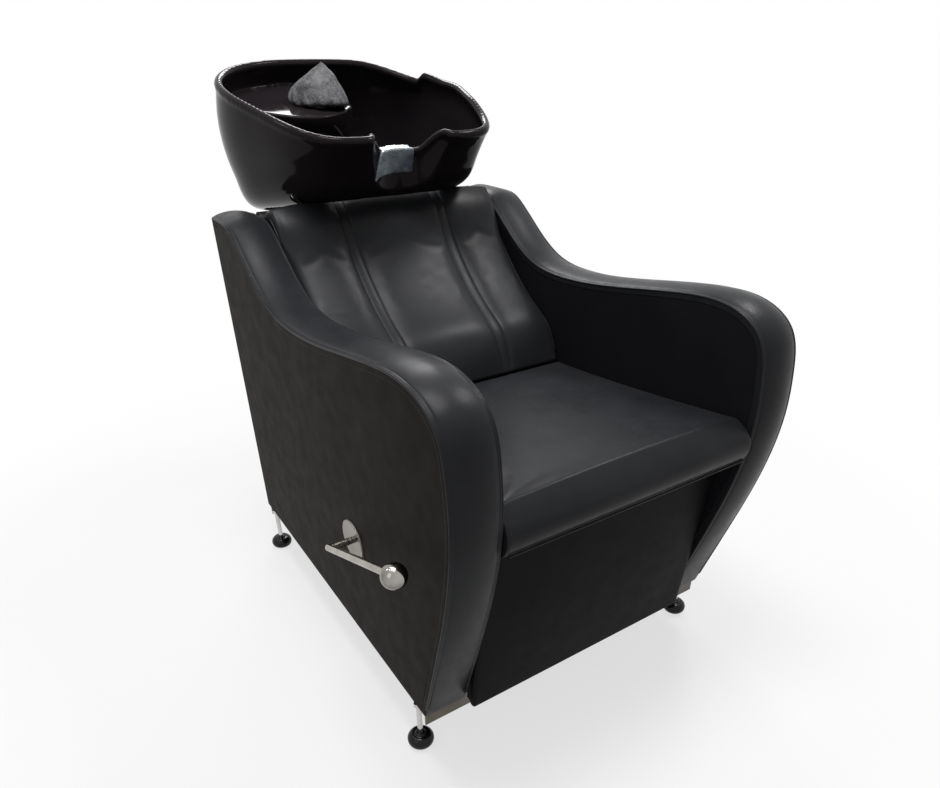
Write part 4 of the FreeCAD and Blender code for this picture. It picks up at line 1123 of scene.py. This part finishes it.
def turned(name, settings, centre):
    turns = [2 * math.pi * k / settings["around"] for k in range(settings["around"])]
    rings = [[(centre[0] + radius * math.cos(a), centre[1] + radius * math.sin(a), centre[2] + height)
              for a in turns] for radius, height in smoothLine(settings["profile"], 34)]
    return loft(name, rings, (0.5,))


for foot in feet:
    name = "glide" + foot.title().replace("_", "")
    low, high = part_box("glide_" + foot)
    middle = toChair((Vector(low) + Vector(high)) / 2)
    finishPiece(turned(name, glide, (middle.x, middle.y, 0.0)), "foot_" + foot, ["glide_" + foot],
                "glide")
finishPiece(turned("axleCap", cap, cap["place"]), "frame", [], "cap")
print("glides and caps")

# floor, light, camera

stage = {"size": 12.0, "below": 0.0005, "near": 0.75, "far": 1.5, "level": 0.72, "lift": 0.68, "fill": 0.3}
white = (1.0, 1.0, 1.0, 1)


def seenRays(tree):
    # 1 for the rays that the camera sends, also by way of a gloss or a clear skin
    path = addNode(tree, "ShaderNodeLightPath")
    total, last = path, "Is Camera Ray"
    for other in ("Is Glossy Ray", "Is Transmission Ray"):
        node = addNode(tree, "ShaderNodeMath", operation="ADD", use_clamp=True)
        link(tree, total, last, node, 0)
        link(tree, path, other, node, 1)
        total, last = node, "Value"
    return total


def mixInto(tree, share, first, second, end):
    mixed = addNode(tree, "ShaderNodeMixShader")
    link(tree, share, "Value", mixed, "Fac")
    link(tree, first, 0, mixed, 1)
    link(tree, second, 0, mixed, 2)
    link(tree, mixed, "Shader", tree.nodes[end], "Surface")


def makeFloor():
    half = stage["size"] / 2
    corners = [(-half, -half, 0), (half, -half, 0), (half, half, 0), (-half, half, 0)]
    mesh = bpy.data.meshes.new("floorSheet")
    mesh.from_pydata(corners, [], [(0, 1, 2, 3)])
    floor = newObject("floorSheet", mesh)
    floor.location.z = -stage["below"]
    material, tree, shader = newMaterial("paleFloor", {"rough": 0.85, "specular": 0.1})
    shader.inputs["Base Color"].default_value = (stage["level"],) * 3 + (1,)
    size = addNode(tree, "ShaderNodeVectorMath", operation="LENGTH")
    link(tree, addNode(tree, "ShaderNodeTexCoord"), "Object", size, 0)
    limits = {"From Min": stage["near"], "From Max": stage["far"], "To Min": stage["lift"]}
    fade = addNode(tree, "ShaderNodeMapRange", limits, interpolation_type="SMOOTHSTEP")
    link(tree, size, "Value", fade, "Value")
    both = addNode(tree, "ShaderNodeMath", operation="MULTIPLY")
    link(tree, seenRays(tree), "Value", both, 0)
    link(tree, fade, "Result", both, 1)
    glow = addNode(tree, "ShaderNodeEmission", {"Color": white})
    mixInto(tree, both, shader, glow, "Material Output")
    mesh.materials.append(material)
    floor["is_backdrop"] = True


def makeWorld():
    world = bpy.data.worlds.new("softRoom")
    scene.world = world
    world.use_nodes = True
    tree = world.node_tree
    base = tree.nodes["Background"]
    seenAs = addNode(tree, "ShaderNodeBackground")
    for node, strength in ((base, stage["fill"]), (seenAs, 1.0)):
        node.inputs["Color"].default_value = white
        node.inputs["Strength"].default_value = strength
    mixInto(tree, seenRays(tree), base, seenAs, "World Output")


def addLamp(name, settings):
    lamp = bpy.data.lights.new(name, "AREA")
    lamp.shape = "RECTANGLE"
    lamp.size, lamp.size_y = settings["size"]
    lamp.energy = settings["power"]
    obj = newObject(name, lamp)
    obj.location = settings["place"]
    away = Vector(settings["place"]) - Vector(settings["aim"])
    obj.rotation_euler = away.to_track_quat("Z", "Y").to_euler()


small = {"aim": (0.1, 0.3, 0.85), "size": (0.26, 0.14), "power": 3.0}
lamps = {
    "topSoft": {"place": (-0.3, -0.2, 2.9), "aim": (0.03, 0.0, 0.5), "size": (1.1, 0.8), "power": 58.0},
    "leftSoft": {"place": (-2.4, -1.0, 1.9), "aim": (0.0, -0.2, 0.5), "size": (1.2, 1.6), "power": 5.5},
    "backSoft": {"place": (1.0, 2.2, 2.3), "aim": (0.0, 0.2, 0.7), "size": (0.9, 0.6), "power": 22.0},
    "sideSoft": {"place": (1.2, -0.15, 2.3), "aim": (0.08, 0.05, 0.62), "size": (0.5, 0.5), "power": 20.0},
    "smallOne": {"place": (-1.6, 1.2, 2.3), **small},
    "smallTwo": {"place": (-1.2, 0.2, 2.6), **small},
    "smallThree": {"place": (-0.6, 0.9, 2.7), **small},
}

camera = {"place": (-0.6331, -1.150038, 1.0187), "down": 33.204, "turn": -33.358, "focal": 692.61,
          "shift": (-10.0, 108.0), "width": 940, "sensor": 36.0}


def makeCamera():
    data = bpy.data.cameras.new("productCamera")
    obj = newObject("productCamera", data)
    obj.location = camera["place"]
    obj.rotation_euler = (math.radians(90 - camera["down"]), 0, math.radians(camera["turn"]))
    wide = camera["width"]
    data.sensor_fit = "HORIZONTAL"
    data.sensor_width = camera["sensor"]
    data.lens = camera["focal"] * camera["sensor"] / wide
    data.shift_x = camera["shift"][0] / wide
    data.shift_y = camera["shift"][1] / wide
    data.clip_start = 0.02
    scene.camera = obj


makeFloor()
makeWorld()
for name, settings in lamps.items():
    addLamp(name, settings)
makeCamera()
scene.view_settings.view_transform = "Standard"
print("stage ready")

low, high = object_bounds()
